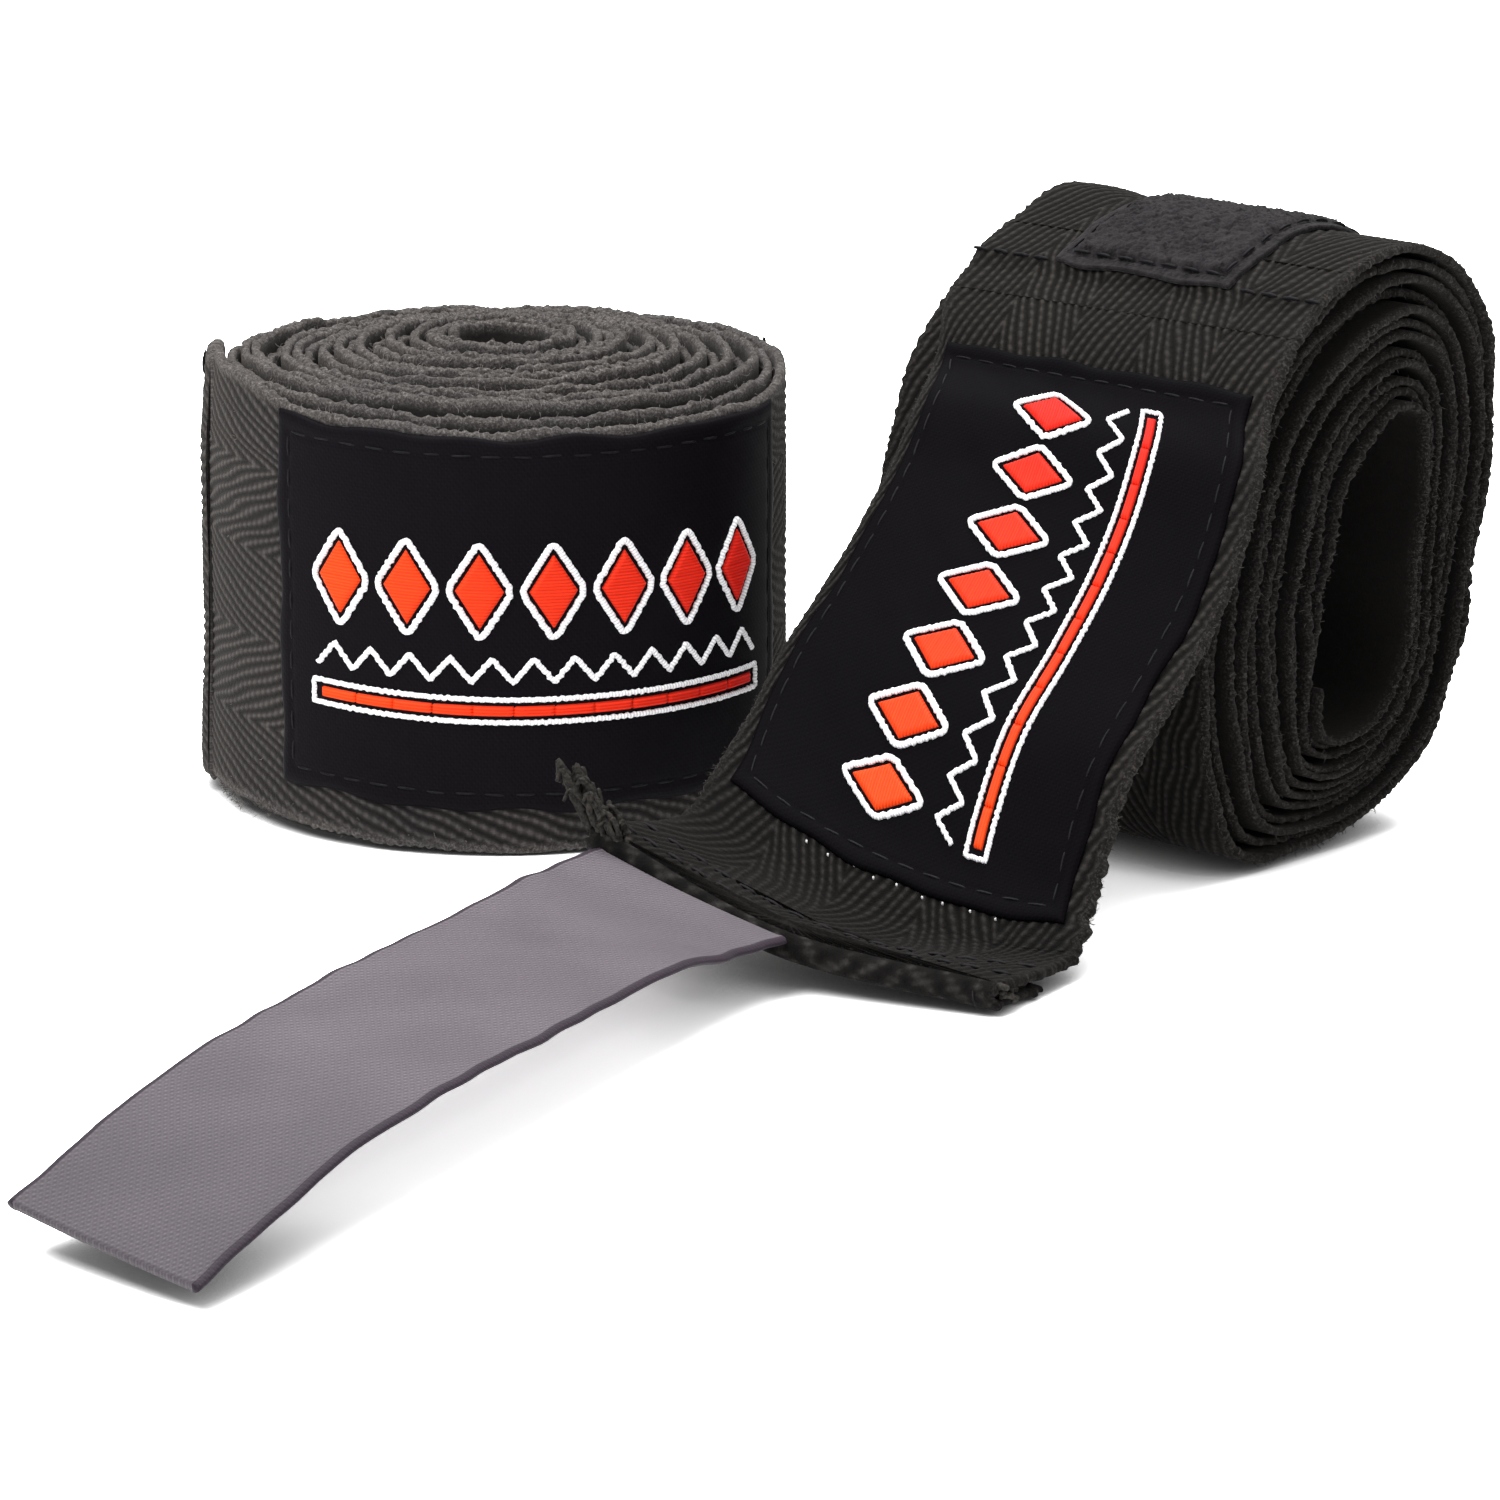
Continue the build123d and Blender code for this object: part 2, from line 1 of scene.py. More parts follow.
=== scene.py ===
import bpy
import math
import numpy as np
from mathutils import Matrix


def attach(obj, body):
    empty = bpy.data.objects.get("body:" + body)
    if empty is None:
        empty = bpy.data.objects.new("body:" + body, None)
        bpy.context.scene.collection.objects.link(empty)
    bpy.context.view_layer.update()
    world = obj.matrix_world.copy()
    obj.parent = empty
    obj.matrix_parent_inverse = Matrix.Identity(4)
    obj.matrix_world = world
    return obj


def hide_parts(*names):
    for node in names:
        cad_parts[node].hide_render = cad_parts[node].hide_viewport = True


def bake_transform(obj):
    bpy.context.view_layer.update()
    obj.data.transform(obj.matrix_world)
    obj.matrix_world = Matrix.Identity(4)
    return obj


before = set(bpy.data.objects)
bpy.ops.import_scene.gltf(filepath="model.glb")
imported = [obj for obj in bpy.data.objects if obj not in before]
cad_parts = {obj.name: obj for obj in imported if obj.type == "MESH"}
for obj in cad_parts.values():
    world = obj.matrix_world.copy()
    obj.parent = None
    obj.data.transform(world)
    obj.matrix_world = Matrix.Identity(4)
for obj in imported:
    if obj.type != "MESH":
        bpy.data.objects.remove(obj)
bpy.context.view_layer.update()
RNG = np.random.default_rng(7)

# ------------------------------------------------------------------ sizes, mm
BAND_W, BAND_T = 50.0, 1.2
R_OUT, R_CORE, PITCH, A_END = 33.3, 6.2, 1.50, -94.0
LABEL_W, LABEL_T = 42.5, 0.45
LAB_A0, LAB_A1 = -47.0, 70.0
PATCH_A0, PATCH_A1, PATCH_W, PATCH_T = 112.0, 178.0, 25.0, 1.5
TAPE_W = 25.0
YAW = 43.0
OB = np.array([66.15, -22.79, 0.0])
B_TURNS = 12
OUTER = [(-4.4, 1.6), (-9.1, 10.1), (-11.1, 21.8), (-9.9, 33.0), (-6.7, 45.6), (-1.1, 56.2), (10.8, 64.7),
         (23.9, 67.8), (34.2, 64.0), (40.4, 56.6), (42.0, 44.2), (40.2, 29.7), (37.4, 17.9), (32.2, 8.5),
         (22.5, 2.6), (8.5, 0.0)]
CORE = [(10.2, 15.5), (11.4, 23.3), (12.6, 31.0), (14.7, 38.7), (18.6, 44.6), (23.5, 48.2), (27.6, 47.0),
        (28.2, 42.0), (27.6, 35.0), (27.2, 27.9), (26.6, 20.5), (23.5, 15.3), (17.5, 12.6), (12.5, 12.9)]
TAIL = [(64.8, -33.6, 47.9, 41.2, -2.6), (62.5, -38.0, 42.0, 40.0, -3.9), (59.4, -42.6, 36.1, 38.9, -5.2),
        (54.9, -48.0, 29.1, 39.2, -6.2), (50.0, -53.3, 22.5, 39.4, -7.3), (46.8, -58.3, 15.9, 37.6, -9.4),
        (44.9, -62.4, 11.2, 36.3, -11.2), (43.0, -66.3, 7.6, 35.9, -11.8)]
LAB_S0, LAB_S1 = 12.3, 76.3
LAB_UP = 1.3
LAB_HB = 22.25
HL, HM, HR = np.array([12.0, -69.5, 13.2]), np.array([31.5, -83.2, 5.7]), np.array([54.3, -93.2, 2.7])
TAPE = [(-3.0, 23.2, -75.9, 8.0, 33.0, -15.5), (0, 21.9, -78.6, 8.4, 32.3, -15.0), (12, 16.6, -89.6, 9.6, 31.5, -11.8),
        (25, 11.7, -100.6, 10.9, 31.1, -8.3), (37, 6.4, -111.9, 11.4, 31.6, -6.5), (50, 0.8, -123.0, 11.6, 32.5, -6.5),
        (62, -5.1, -134.0, 11.5, 33.8, -6.2), (75, -11.2, -144.9, 11.0, 35.3, -5.5), (87, -17.7, -155.4, 9.5, 37.3, -4.5),
        (100, -24.1, -165.6, 6.6, 39.3, -5.6), (112, -30.3, -175.6, 3.4, 41.0, -6.5)]
T_FLEX = 52.0
HB = BAND_T / 2
SQ = math.sqrt


# ------------------------------------------------------------------ helpers
def hermite(x, xs, ys):
    """Smooth interpolation of rows ys at positions x (both may be arrays)."""
    xs = np.asarray(xs, float)
    ys = np.asarray(ys, float)
    m = np.gradient(ys, xs, axis=0)
    x = np.clip(np.asarray(x, float), xs[0], xs[-1])
    i = np.clip(np.searchsorted(xs, x, side="right") - 1, 0, len(xs) - 2)
    h = xs[i + 1] - xs[i]
    t = (x - xs[i]) / h
    if ys.ndim > 1:
        t = t[..., None]
        h = h[..., None]
    return ((2*t**3 - 3*t*t + 1) * ys[i] + (t**3 - 2*t*t + t) * h * m[i]
            + (-2*t**3 + 3*t*t) * ys[i + 1] + (t**3 - t*t) * h * m[i + 1])


def rest_on_floor(P):
    """Cloth that would dip under the floor is laid flat on it."""
    z = P[..., 2]
    P[..., 2] = np.where(z < 0.3, 0.3 * np.exp((np.minimum(z, 0.3) - 0.3) / 0.3), z)
    return P


def unit(v):
    return v / np.maximum(np.linalg.norm(v, axis=-1, keepdims=True), 1e-12)


def wob(x, scale, seed, k=5):
    """Smooth seeded wobble, about -1..1, with features near `scale`."""
    r = np.random.default_rng(seed)
    out = 0.0
    for _ in range(k):
        f = 2 * math.pi / (scale * r.uniform(0.6, 1.7))
        out = out + np.sin(np.asarray(x) * f + r.uniform(0, 6.28))
    return out / SQ(k) * 0.9


def sstep(x, a, b):
    t = np.clip((np.asarray(x, float) - a) / (b - a), 0, 1)
    return t * t * (3 - 2 * t)


def make(name, verts, faces, uv=None, mat=None, smooth=True, attrs=None):
    """Mesh object from mm arrays; uv is per vertex."""
    me = bpy.data.meshes.new(name)
    verts = np.asarray(verts, np.float64) * 0.001
    faces = [np.asarray(f, np.int32) for f in (faces if isinstance(faces, list) else [faces])]
    me.vertices.add(len(verts))
    me.vertices.foreach_set("co", verts.ravel().astype(np.float32))
    loops = np.concatenate([f.ravel() for f in faces])
    sizes = np.concatenate([np.full(len(f), f.shape[1], np.int32) for f in faces])
    starts = np.concatenate([[0], np.cumsum(sizes)[:-1]]).astype(np.int32)
    me.loops.add(len(loops))
    me.loops.foreach_set("vertex_index", loops)
    me.polygons.add(len(sizes))
    me.polygons.foreach_set("loop_start", starts)
    me.polygons.foreach_set("loop_total", sizes)
    me.polygons.foreach_set("use_smooth", np.full(len(sizes), smooth))
    if uv is not None:
        lay = me.uv_layers.new(name="mm")
        lay.data.foreach_set("uv", np.asarray(uv, np.float32)[loops].ravel())
    for k, v in (attrs or {}).items():
        at = me.attributes.new(k, "FLOAT", "POINT")
        at.data.foreach_set("value", np.asarray(v, np.float32).ravel())
    me.update(calc_edges=True)
    me.validate()
    ob = bpy.data.objects.new(name, me)
    bpy.context.scene.collection.objects.link(ob)
    if mat:
        me.materials.append(mat)
    return ob


def tube_faces(nu, nr, flip=False):
    """Quads of an nu x nr sheet closed round the ring."""
    i = np.arange(nu - 1)[:, None] * nr
    j = np.arange(nr)[None, :]
    a = i + j
    b = i + (j + 1) % nr
    q = np.stack([a, b, b + nr, a + nr], -1).reshape(-1, 4)
    if flip:
        q = q[:, ::-1]
    return q


def ring_mesh(name, P, uv, mat, attrs=None, flip=False):
    """P: (nu, nr, 3) rings -> closed tube with capped ends."""
    nu, nr = P.shape[:2]
    V = P.reshape(-1, 3)
    q = tube_faces(nu, nr, flip)
    c0, c1 = P[0].mean(0), P[-1].mean(0)
    V = np.concatenate([V, [c0, c1]])
    j = np.arange(nr)
    k = (j + 1) % nr
    n0, n1 = nu * nr, nu * nr + 1
    t0 = np.stack([np.full(nr, n0), k, j], -1)
    t1 = np.stack([np.full(nr, n1), j + (nu - 1) * nr, k + (nu - 1) * nr], -1)
    if flip:
        t0, t1 = t0[:, ::-1], t1[:, ::-1]
    uvf = np.concatenate([uv.reshape(-1, 2), [uv[0].mean(0), uv[-1].mean(0)]])
    at = None
    if attrs:
        at = {n: np.concatenate([a.reshape(-1), [a[0].mean(), a[-1].mean()]]) for n, a in attrs.items()}
    return make(name, V, [q, t0, t1], uvf, mat, True, at)


def outward(ob):
    """Consistent outward normals."""
    import bmesh
    bm = bmesh.new()
    bm.from_mesh(ob.data)
    bmesh.ops.recalc_face_normals(bm, faces=bm.faces)
    bm.to_mesh(ob.data)
    bm.free()
    return ob


# herringbone rib height, 0..1, from length u and cross position v (mm)
RIB_P, RIB_A, ZONE = 1.22, math.radians(20), 10.0


def rib(u, v):
    w = (v + 25.0) % (2 * ZONE)
    tri = np.where(w < ZONE, w, 2 * ZONE - w)
    ph = (u * math.sin(RIB_A) + math.cos(RIB_A) * tri) / RIB_P + 0.12 * wob(u, 6, 901) + 0.12 * wob(v, 5, 902)
    s = 0.5 + 0.5 * np.sin(2 * math.pi * ph)
    k = np.floor(ph + 0.25)
    st = 0.5 + 0.5 * np.sin(2 * math.pi * (u / 1.12 + 0.41 * k))
    return s * (0.62 + 0.38 * st)


def ring_profile(nv, t, edge=4, nvi=None):
    """Band cross-section going once round: v, h in units of t/2 (+1 outer face), and an edge mask."""
    r = t / 2
    nvi = nvi or nv
    vo = np.linspace(-BAND_W / 2 + r, BAND_W / 2 - r, nv)
    vi = np.linspace(-BAND_W / 2 + r, BAND_W / 2 - r, nvi)
    if nv <= 20:
        vo = (BAND_W / 2 - r) * np.sin(np.linspace(-1, 1, nv) * math.pi / 2)
        vi = vo.copy()
    ang = np.linspace(math.pi / 2, -math.pi / 2, edge + 2)[1:-1]
    e1v, e1h = BAND_W / 2 - r + r * np.cos(ang), np.sin(ang)
    v = np.concatenate([vo, e1v, vi[::-1], -e1v[::-1]])
    h = np.concatenate([np.ones(nv), e1h, -np.ones(nvi), e1h[::-1]])
    ed = np.concatenate([np.zeros(nv), np.ones(edge), np.zeros(nvi), np.ones(edge)])
    return v, h, ed


def band(name, us, C, N, W, mat, nv=160, t=BAND_T, rib_amp=0.24, lift=None, seed=1, fuzz=0.10, v_shift=0.0, tfun=None,
         push=None, loop=0.20, nvi=30, slow=0.22):
    """Cloth band: us (nu) mm along; C, N, W (nu, 3) centre, outward normal, cross direction."""
    v, h, ed = ring_profile(nv, t, 4, nvi if nv > nvi else nv)
    nu, nr = len(us), len(v)
    U = np.repeat(us[:, None], nr, 1)
    Vv = np.repeat(v[None, :], nu, 0)
    Hh = np.repeat(h[None, :], nu, 0)
    E = np.repeat(ed[None, :], nu, 0)
    r = rib(U, Vv) if nv > 20 else np.full(U.shape, 0.30)
    tt = np.full(nu, t) if tfun is None else tfun(us)
    H = Hh * tt[:, None] / 2
    face = np.clip(1 - np.abs(np.abs(Hh) - 1) * 8, 0, 1)
    near = sstep(BAND_W / 2 - np.abs(Vv), 0.6, 2.2)
    H = H + face * (rib_amp * (r - 0.5) * near) * (Hh > 0)
    if push is not None:
        H = H + push(U, Vv)
    # selvedge: small yarn loops and a slow wander of the edge
    side = np.sign(Vv)
    loops = np.abs(np.sin(math.pi * (U / 1.15 + 0.15 * wob(U, 9, seed + 3)))) ** 0.7
    far = sstep(np.abs(Vv), BAND_W / 2 - 4.0, BAND_W / 2)
    dv = side * far * (slow * (wob(U + 37 * side, 14, seed + 5)) + fuzz * wob(U + 5 * side, 1.7, seed + 9) + loop * (loops - 0.5))
    H = H + E * 0.10 * wob(U, 1.3, seed + 11) * np.sign(Hh + 1e-6)
    VV = Vv + dv + v_shift
    if lift is not None:
        VV = VV + lift(U, Vv)
    P = rest_on_floor(C[:, None, :] + W[:, None, :] * VV[..., None] + N[:, None, :] * H[..., None])
    uv = np.stack([U, Vv], -1)
    ob = ring_mesh(name, P, uv, mat, {"edge": sstep(np.abs(Vv), BAND_W / 2 - 1.6, BAND_W / 2 - 0.2), "rib": r})
    outward(ob)
    return ob


# ---------------------------------------------------------------- materials
def nodes_of(name):
    m = bpy.data.materials.new(name)
    m.use_nodes = True
    nt = m.node_tree
    b = nt.nodes["Principled BSDF"]
    return m, nt, b


class G:
    """Short node-graph writer."""
    def __init__(self, nt):
        self.nt = nt

    def n(self, kind, **kw):
        nd = self.nt.nodes.new(kind)
        for k, v in kw.items():
            setattr(nd, k, v)
        return nd

    def link(self, a, b):
        self.nt.links.new(a, b)

    def put(self, sock, val):
        if hasattr(val, "is_linked") or hasattr(val, "links"):
            self.link(val, sock)
        else:
            sock.default_value = val

    def math(self, op, a, b=None, c=None, clamp=False):
        nd = self.n("ShaderNodeMath", operation=op, use_clamp=clamp)
        self.put(nd.inputs[0], a)
        if b is not None:
            self.put(nd.inputs[1], b)
        if c is not None:
            self.put(nd.inputs[2], c)
        return nd.outputs[0]

    def uv(self):
        u = self.n("ShaderNodeUVMap", uv_map="mm")
        s = self.n("ShaderNodeSeparateXYZ")
        self.link(u.outputs[0], s.inputs[0])
        return u.outputs[0], s.outputs[0], s.outputs[1]

    def noise(self, scale, vec=None, detail=3.0, rough=0.55, out=0):
        nd = self.n("ShaderNodeTexNoise")
        nd.inputs["Scale"].default_value = scale
        nd.inputs["Detail"].default_value = detail
        nd.inputs["Roughness"].default_value = rough
        if vec is None:
            g = self.n("ShaderNodeNewGeometry") if False else self.n("ShaderNodeTexCoord")
            vec = g.outputs["Object"]
        self.link(vec, nd.inputs["Vector"])
        return nd.outputs[out]

    def ramp(self, fac, stops):
        nd = self.n("ShaderNodeValToRGB")
        cr = nd.color_ramp
        while len(cr.elements) < len(stops):
            cr.elements.new(0.5)
        for e, (p, c) in zip(cr.elements, stops):
            e.position = p
            e.color = tuple(c) + (1.0,) if len(c) == 3 else c
        self.link(fac, nd.inputs[0])
        return nd.outputs[0]

    def mix(self, fac, a, b, blend="MIX"):
        nd = self.n("ShaderNodeMix", data_type="RGBA", blend_type=blend)
        self.put(nd.inputs[0], fac)
        for s, v in ((nd.inputs[6], a), (nd.inputs[7], b)):
            if isinstance(v, tuple):
                s.default_value = v + (1.0,) if len(v) == 3 else v
            else:
                self.link(v, s)
        return nd.outputs[2]

    def bump(self, height, strength, dist, normal=None):
        nd = self.n("ShaderNodeBump")
        nd.inputs["Strength"].default_value = strength
        nd.inputs["Distance"].default_value = dist
        self.link(height, nd.inputs["Height"])
        if normal is not None:
            self.link(normal, nd.inputs["Normal"])
        return nd.outputs[0]

    def fade(self, u, u0, u1, f):
        """Painted shade: grey factor going from 1 at u0 to f at u1."""
        nd = self.n("ShaderNodeMapRange", interpolation_type="SMOOTHSTEP")
        for k, v in ((1, u0), (2, u1), (3, 0.0), (4, 1.0)):
            nd.inputs[k].default_value = v
        self.link(u, nd.inputs[0])
        return self.ramp(nd.outputs[0], [(0.0, (1.0, 1.0, 1.0)), (1.0, (f, f, f))])

    def attr(self, name):
        nd = self.n("ShaderNodeAttribute", attribute_name=name)
        return nd.outputs["Fac"]


def knit(name, dark, mid, light, edge_highlight_col, sheen=0.12, fade=None, edge_mid=None):
    m, nt, b = nodes_of(name)
    g = G(nt)
    uvv, u, v = g.uv()
    fine = g.noise(3.4, uvv, 4.0, 0.75)
    fib = g.noise(2600.0, None, 4.0, 0.75)
    broad = g.noise(60.0, None, 3.0, 0.6)
    rb = g.attr("rib")
    ed = g.attr("edge")
    # colour from rib height and yarn noise: along the ribs it is painted shade in the valleys and painted highlight on
    # the ridges; the noise is the yarn's own tone
    ht = g.math("ADD", g.math("MULTIPLY", rb, 0.62), g.math("MULTIPLY", fine, 0.26))
    val = g.math("ADD", ht, g.math("MULTIPLY", fib, 0.24))
    col = g.ramp(val, [(0.22, dark), (0.55, mid), (0.98, light)])
    # lighter colour at the band's rounded edges: painted highlight where light catches the fuzzy edges
    edge_highlight = g.ramp(g.math("ADD", g.math("MULTIPLY", fine, 0.55), g.math("MULTIPLY", fib, 0.45)), [(0.32, dark), (0.50, edge_mid or mid), (0.72, edge_highlight_col)])
    col = g.mix(g.math("MULTIPLY", ed, 0.85), col, edge_highlight)
    col = g.mix(1.0, col, g.ramp(broad, [(0.3, (0.82, 0.82, 0.83)), (0.7, (1.16, 1.13, 1.09))]), "MULTIPLY")
    # optional painted shade: colour darkened along u
    if fade:
        col = g.mix(1.0, col, g.fade(u, *fade), "MULTIPLY")
    g.link(col, b.inputs["Base Color"])
    b.inputs["Roughness"].default_value = 0.95
    b.inputs["Specular IOR Level"].default_value = 0.08
    b.inputs["Sheen Weight"].default_value = sheen
    b.inputs["Sheen Roughness"].default_value = 0.6
    b.inputs["Sheen Tint"].default_value = (0.70, 0.66, 0.60, 1)
    n1 = g.bump(val, 0.6, 0.00025)
    n2 = g.bump(fib, 0.65, 0.00016, n1)
    g.link(n2, b.inputs["Normal"])
    return m


def satin(name, c0, c1, rough=0.5, px=0.34, py=0.42, bump=0.35, sheen=0.1, spec=0.35, fade=None):
    """Fine plain-woven cloth."""
    m, nt, b = nodes_of(name)
    g = G(nt)
    uvv, u, v = g.uv()
    a = g.math("MULTIPLY_ADD", g.math("SINE", g.math("MULTIPLY", u, 2 * math.pi / px)), 0.5, 0.5)
    c = g.math("MULTIPLY_ADD", g.math("SINE", g.math("MULTIPLY", v, 2 * math.pi / py)), 0.5, 0.5)
    diag = g.math("MULTIPLY_ADD", g.math("SINE", g.math("MULTIPLY", g.math("ADD", g.math("DIVIDE", u, px * 2), g.math("DIVIDE", v, py * 2)), 2 * math.pi)), 0.5, 0.5)
    wv = g.math("ADD", g.math("MULTIPLY", g.math("MULTIPLY", a, c), 0.6), g.math("MULTIPLY", diag, 0.4))
    fine = g.noise(2.4, uvv, 3.0, 0.65)
    val = g.math("ADD", g.math("MULTIPLY", wv, 0.5), g.math("MULTIPLY", fine, 0.5))
    col = g.ramp(val, [(0.2, c0), (0.8, c1)])
    broad = g.noise(70.0, None, 2.0)
    col = g.mix(1.0, col, g.ramp(broad, [(0.3, (0.88, 0.88, 0.88)), (0.7, (1.1, 1.1, 1.1))]), "MULTIPLY")
    # optional painted shade: colour darkened along u
    if fade:
        col = g.mix(1.0, col, g.fade(u, *fade), "MULTIPLY")
    g.link(col, b.inputs["Base Color"])
    b.inputs["Roughness"].default_value = rough
    b.inputs["Specular IOR Level"].default_value = spec
    b.inputs["Sheen Weight"].default_value = sheen
    b.inputs["Sheen Roughness"].default_value = 0.4
    g.link(g.bump(val, bump, 0.00012), b.inputs["Normal"])
    return m


def pile(name, dark, light):
    m, nt, b = nodes_of(name)
    g = G(nt)
    a = g.noise(900.0, None, 5.0, 0.75)
    c = g.noise(260.0, None, 3.0, 0.6)
    val = g.math("ADD", g.math("MULTIPLY", a, 0.7), g.math("MULTIPLY", c, 0.3))
    g.link(g.ramp(val, [(0.35, dark), (0.68, light)]), b.inputs["Base Color"])
    b.inputs["Roughness"].default_value = 0.95
    b.inputs["Specular IOR Level"].default_value = 0.05
    b.inputs["Sheen Weight"].default_value = 0.06
    b.inputs["Sheen Roughness"].default_value = 0.5
    g.link(g.bump(val, 0.9, 0.0005), b.inputs["Normal"])
    return m


def thread(name, stops, rough=0.45, spec=0.45, along=True, sheen=0.15, mono=None):
    """Embroidery thread: colour over the u of the label, fine lay of the stitches across."""
    m, nt, b = nodes_of(name)
    g = G(nt)
    uvv, u, v = g.uv()
    lay = g.attr("lay")
    s = g.math("MULTIPLY_ADD", g.math("SINE", g.math("MULTIPLY", lay, 2 * math.pi / 0.36)), 0.5, 0.5)
    fine = g.noise(4.0, uvv, 3.0, 0.7)
    t = g.math("MULTIPLY_ADD", u, 1 / 64.0, 0.5, clamp=True)
    col = g.ramp(t, stops)
    sh = g.math("ADD", g.math("MULTIPLY", s, 0.6), g.math("MULTIPLY", fine, 0.4))
    col = g.mix(1.0, col, g.ramp(sh, [(0.1, (0.62, 0.60, 0.60)), (0.75, (1.08, 1.08, 1.08))]), "MULTIPLY")
    g.link(col, b.inputs["Base Color"])
    b.inputs["Roughness"].default_value = rough
    b.inputs["Specular IOR Level"].default_value = spec
    b.inputs["Sheen Weight"].default_value = sheen
    g.link(g.bump(sh, 0.5, 0.00012), b.inputs["Normal"])
    return m


def plain_fibre(name, col, light, rough=0.8, spec=0.12, sheen=0.0):
    m, nt, b = nodes_of(name)
    g = G(nt)
    a = g.noise(1800.0, None, 3.0, 0.7)
    g.link(g.ramp(a, [(0.3, col), (0.75, light)]), b.inputs["Base Color"])
    b.inputs["Roughness"].default_value = rough
    b.inputs["Specular IOR Level"].default_value = spec
    b.inputs["Sheen Weight"].default_value = sheen
    g.link(g.bump(a, 0.5, 0.00008), b.inputs["Normal"])
    return m


M_A = knit("knit_closed", (0.0028, 0.0026, 0.0026), (0.0175, 0.0160, 0.0160), (0.072, 0.066, 0.066), (0.245, 0.227, 0.223), 0.06, edge_mid=(0.052, 0.048, 0.047))
# open roll's knit: the tail's cloth darkens towards the hem (u 72 to 86 mm) as painted shade
M_B = knit("knit_open", (0.0008, 0.0007, 0.0007), (0.0068, 0.0062, 0.0059), (0.034, 0.0312, 0.0295), (0.078, 0.072, 0.068), 0.025, fade=(72.0, 86.0, 0.42))
M_LABEL = satin("label_weave", (0.0009, 0.0006, 0.0011), (0.0040, 0.0028, 0.0048), 0.66, bump=0.22, sheen=0.0, spec=0.055)
# darker copy of label_weave for the open roll's label, which faces up into the light: painted shade
M_LABEL_B_SHADED = satin("label_weave_open_shaded", (0.0005, 0.0003, 0.0006), (0.0022, 0.0015, 0.0026), 0.70, bump=0.22, sheen=0.0, spec=0.03)
# the tape's colour darkens towards its tip (62 to 112 mm): painted shade
M_TAPE = satin("tape_weave", (0.046, 0.039, 0.046), (0.122, 0.106, 0.122), 0.60, 0.55, 0.40, 0.5, 0.05, 0.20, fade=(62.0, 112.0, 0.70))
M_TEDGE = satin("tape_selvedge", (0.008, 0.005, 0.009), (0.032, 0.019, 0.033), 0.65, sheen=0.03, spec=0.2)
M_PILE = pile("loop_pile", (0.0010, 0.0009, 0.0010), (0.026, 0.0228, 0.0250))
M_HOOK = plain_fibre("hook_field", (0.012, 0.011, 0.012), (0.04, 0.036, 0.04), 0.5)
M_ST = plain_fibre("stitch_thread", (0.0012, 0.0010, 0.0014), (0.0085, 0.0075, 0.0095), 0.6, 0.10)
M_STL = plain_fibre("stitch_pale", (0.35, 0.34, 0.35), (0.70, 0.69, 0.70), 0.5)
M_EMB = thread("embroidery_fill", [(0.0, (0.82, 0.060, 0.004)), (0.45, (0.76, 0.030, 0.005)), (1.0, (0.60, 0.007, 0.006))], 0.6, 0.12, sheen=0.0)
M_WHITE = thread("embroidery_outline", [(0.0, (0.80, 0.80, 0.82)), (1.0, (0.80, 0.80, 0.82))], 0.6, 0.2, sheen=0.0)
# darker copy of knit_open for the hem's turned-under fold: painted shade
M_BHEM_SHADED = knit("knit_hem_shaded", (0.0008, 0.0007, 0.0007), (0.0045, 0.0041, 0.0040), (0.030, 0.028, 0.027), (0.034, 0.031, 0.030), 0.015)
M_BFRAY = plain_fibre("hem_yarn", (0.004, 0.0037, 0.0034), (0.048, 0.044, 0.040), 0.9, 0.05)
M_FZA = plain_fibre("fuzz_closed", (0.050, 0.046, 0.044), (0.200, 0.186, 0.178), 0.95, 0.03)
M_FZB = plain_fibre("fuzz_open", (0.016, 0.015, 0.0135), (0.085, 0.079, 0.072), 0.95, 0.03)
M_THUMB = knit("thumb_tape", (0.003, 0.0028, 0.0026), (0.012, 0.011, 0.010), (0.035, 0.032, 0.030), (0.05, 0.047, 0.043), 0.08)


# ------------------------------------------------------------- closed roll
def rad(d):
    return R_OUT - PITCH * (np.asarray(d, float) - A_END) / 360.0


def pol3(r, deg, z):
    a = np.radians(deg)
    return np.stack([r * np.sin(a), -r * np.cos(a), z + 0 * a], -1)


def arc_len(d):
    """Length along the closed roll's band from its outer end, mm."""
    d = np.asarray(d, float)
    r0 = R_OUT
    x = (d - A_END) / 360.0
    return 2 * math.pi * (r0 * x - PITCH * x * x / 2)


def a_frames(d, rr):
    a = np.radians(d)
    n = np.stack([np.sin(a), -np.cos(a), 0 * a], -1)
    return n


def turn_lift(turn):
    """How far a turn stands up out of the roll: a shallow dome towards the core."""
    return 0.7 * sstep(turn, 0.4, 1.6) + 2.5 * sstep(turn, 3.0, 15.0)


def first_lift(d):
    """The outer end rides up on the left."""
    return 1.9 * (1 - sstep(d, -75, 10)) + 0.0 * d


# outermost turn, fine
d = np.arange(A_END + 12, A_END + 372, 0.52)
R = rad(d) - HB
C = pol3(R, d, 25 + first_lift(d) + turn_lift((d - A_END) / 360.0))
N = a_frames(d, R)
W = np.tile([0, 0, 1.0], (len(d), 1))


def u_deg(U):
    return A_END + np.degrees(U / (R_OUT - 0.7))


def front_dip(U, V):
    """The upper edge sags a little behind the label."""
    dg = u_deg(U)
    return -1.7 * sstep(V, 12, 25) * sstep(dg, -70, -40) * (1 - sstep(dg, 68, 105))


def end_push(U, V):
    """The outer end stands off the roll, most at its lower corner."""
    dg = u_deg(U)
    return (0.75 - 0.85 * sstep(V, 12, 25) + 0.6 * sstep(-V, 5, 24)) * (1 - sstep(dg, -92, -52))


a_outer = band("closed_outer_turn", arc_len(d), C, N, W, M_A, nv=210, seed=2, lift=front_dip, push=end_push)
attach(a_outer, "closed_wrap")
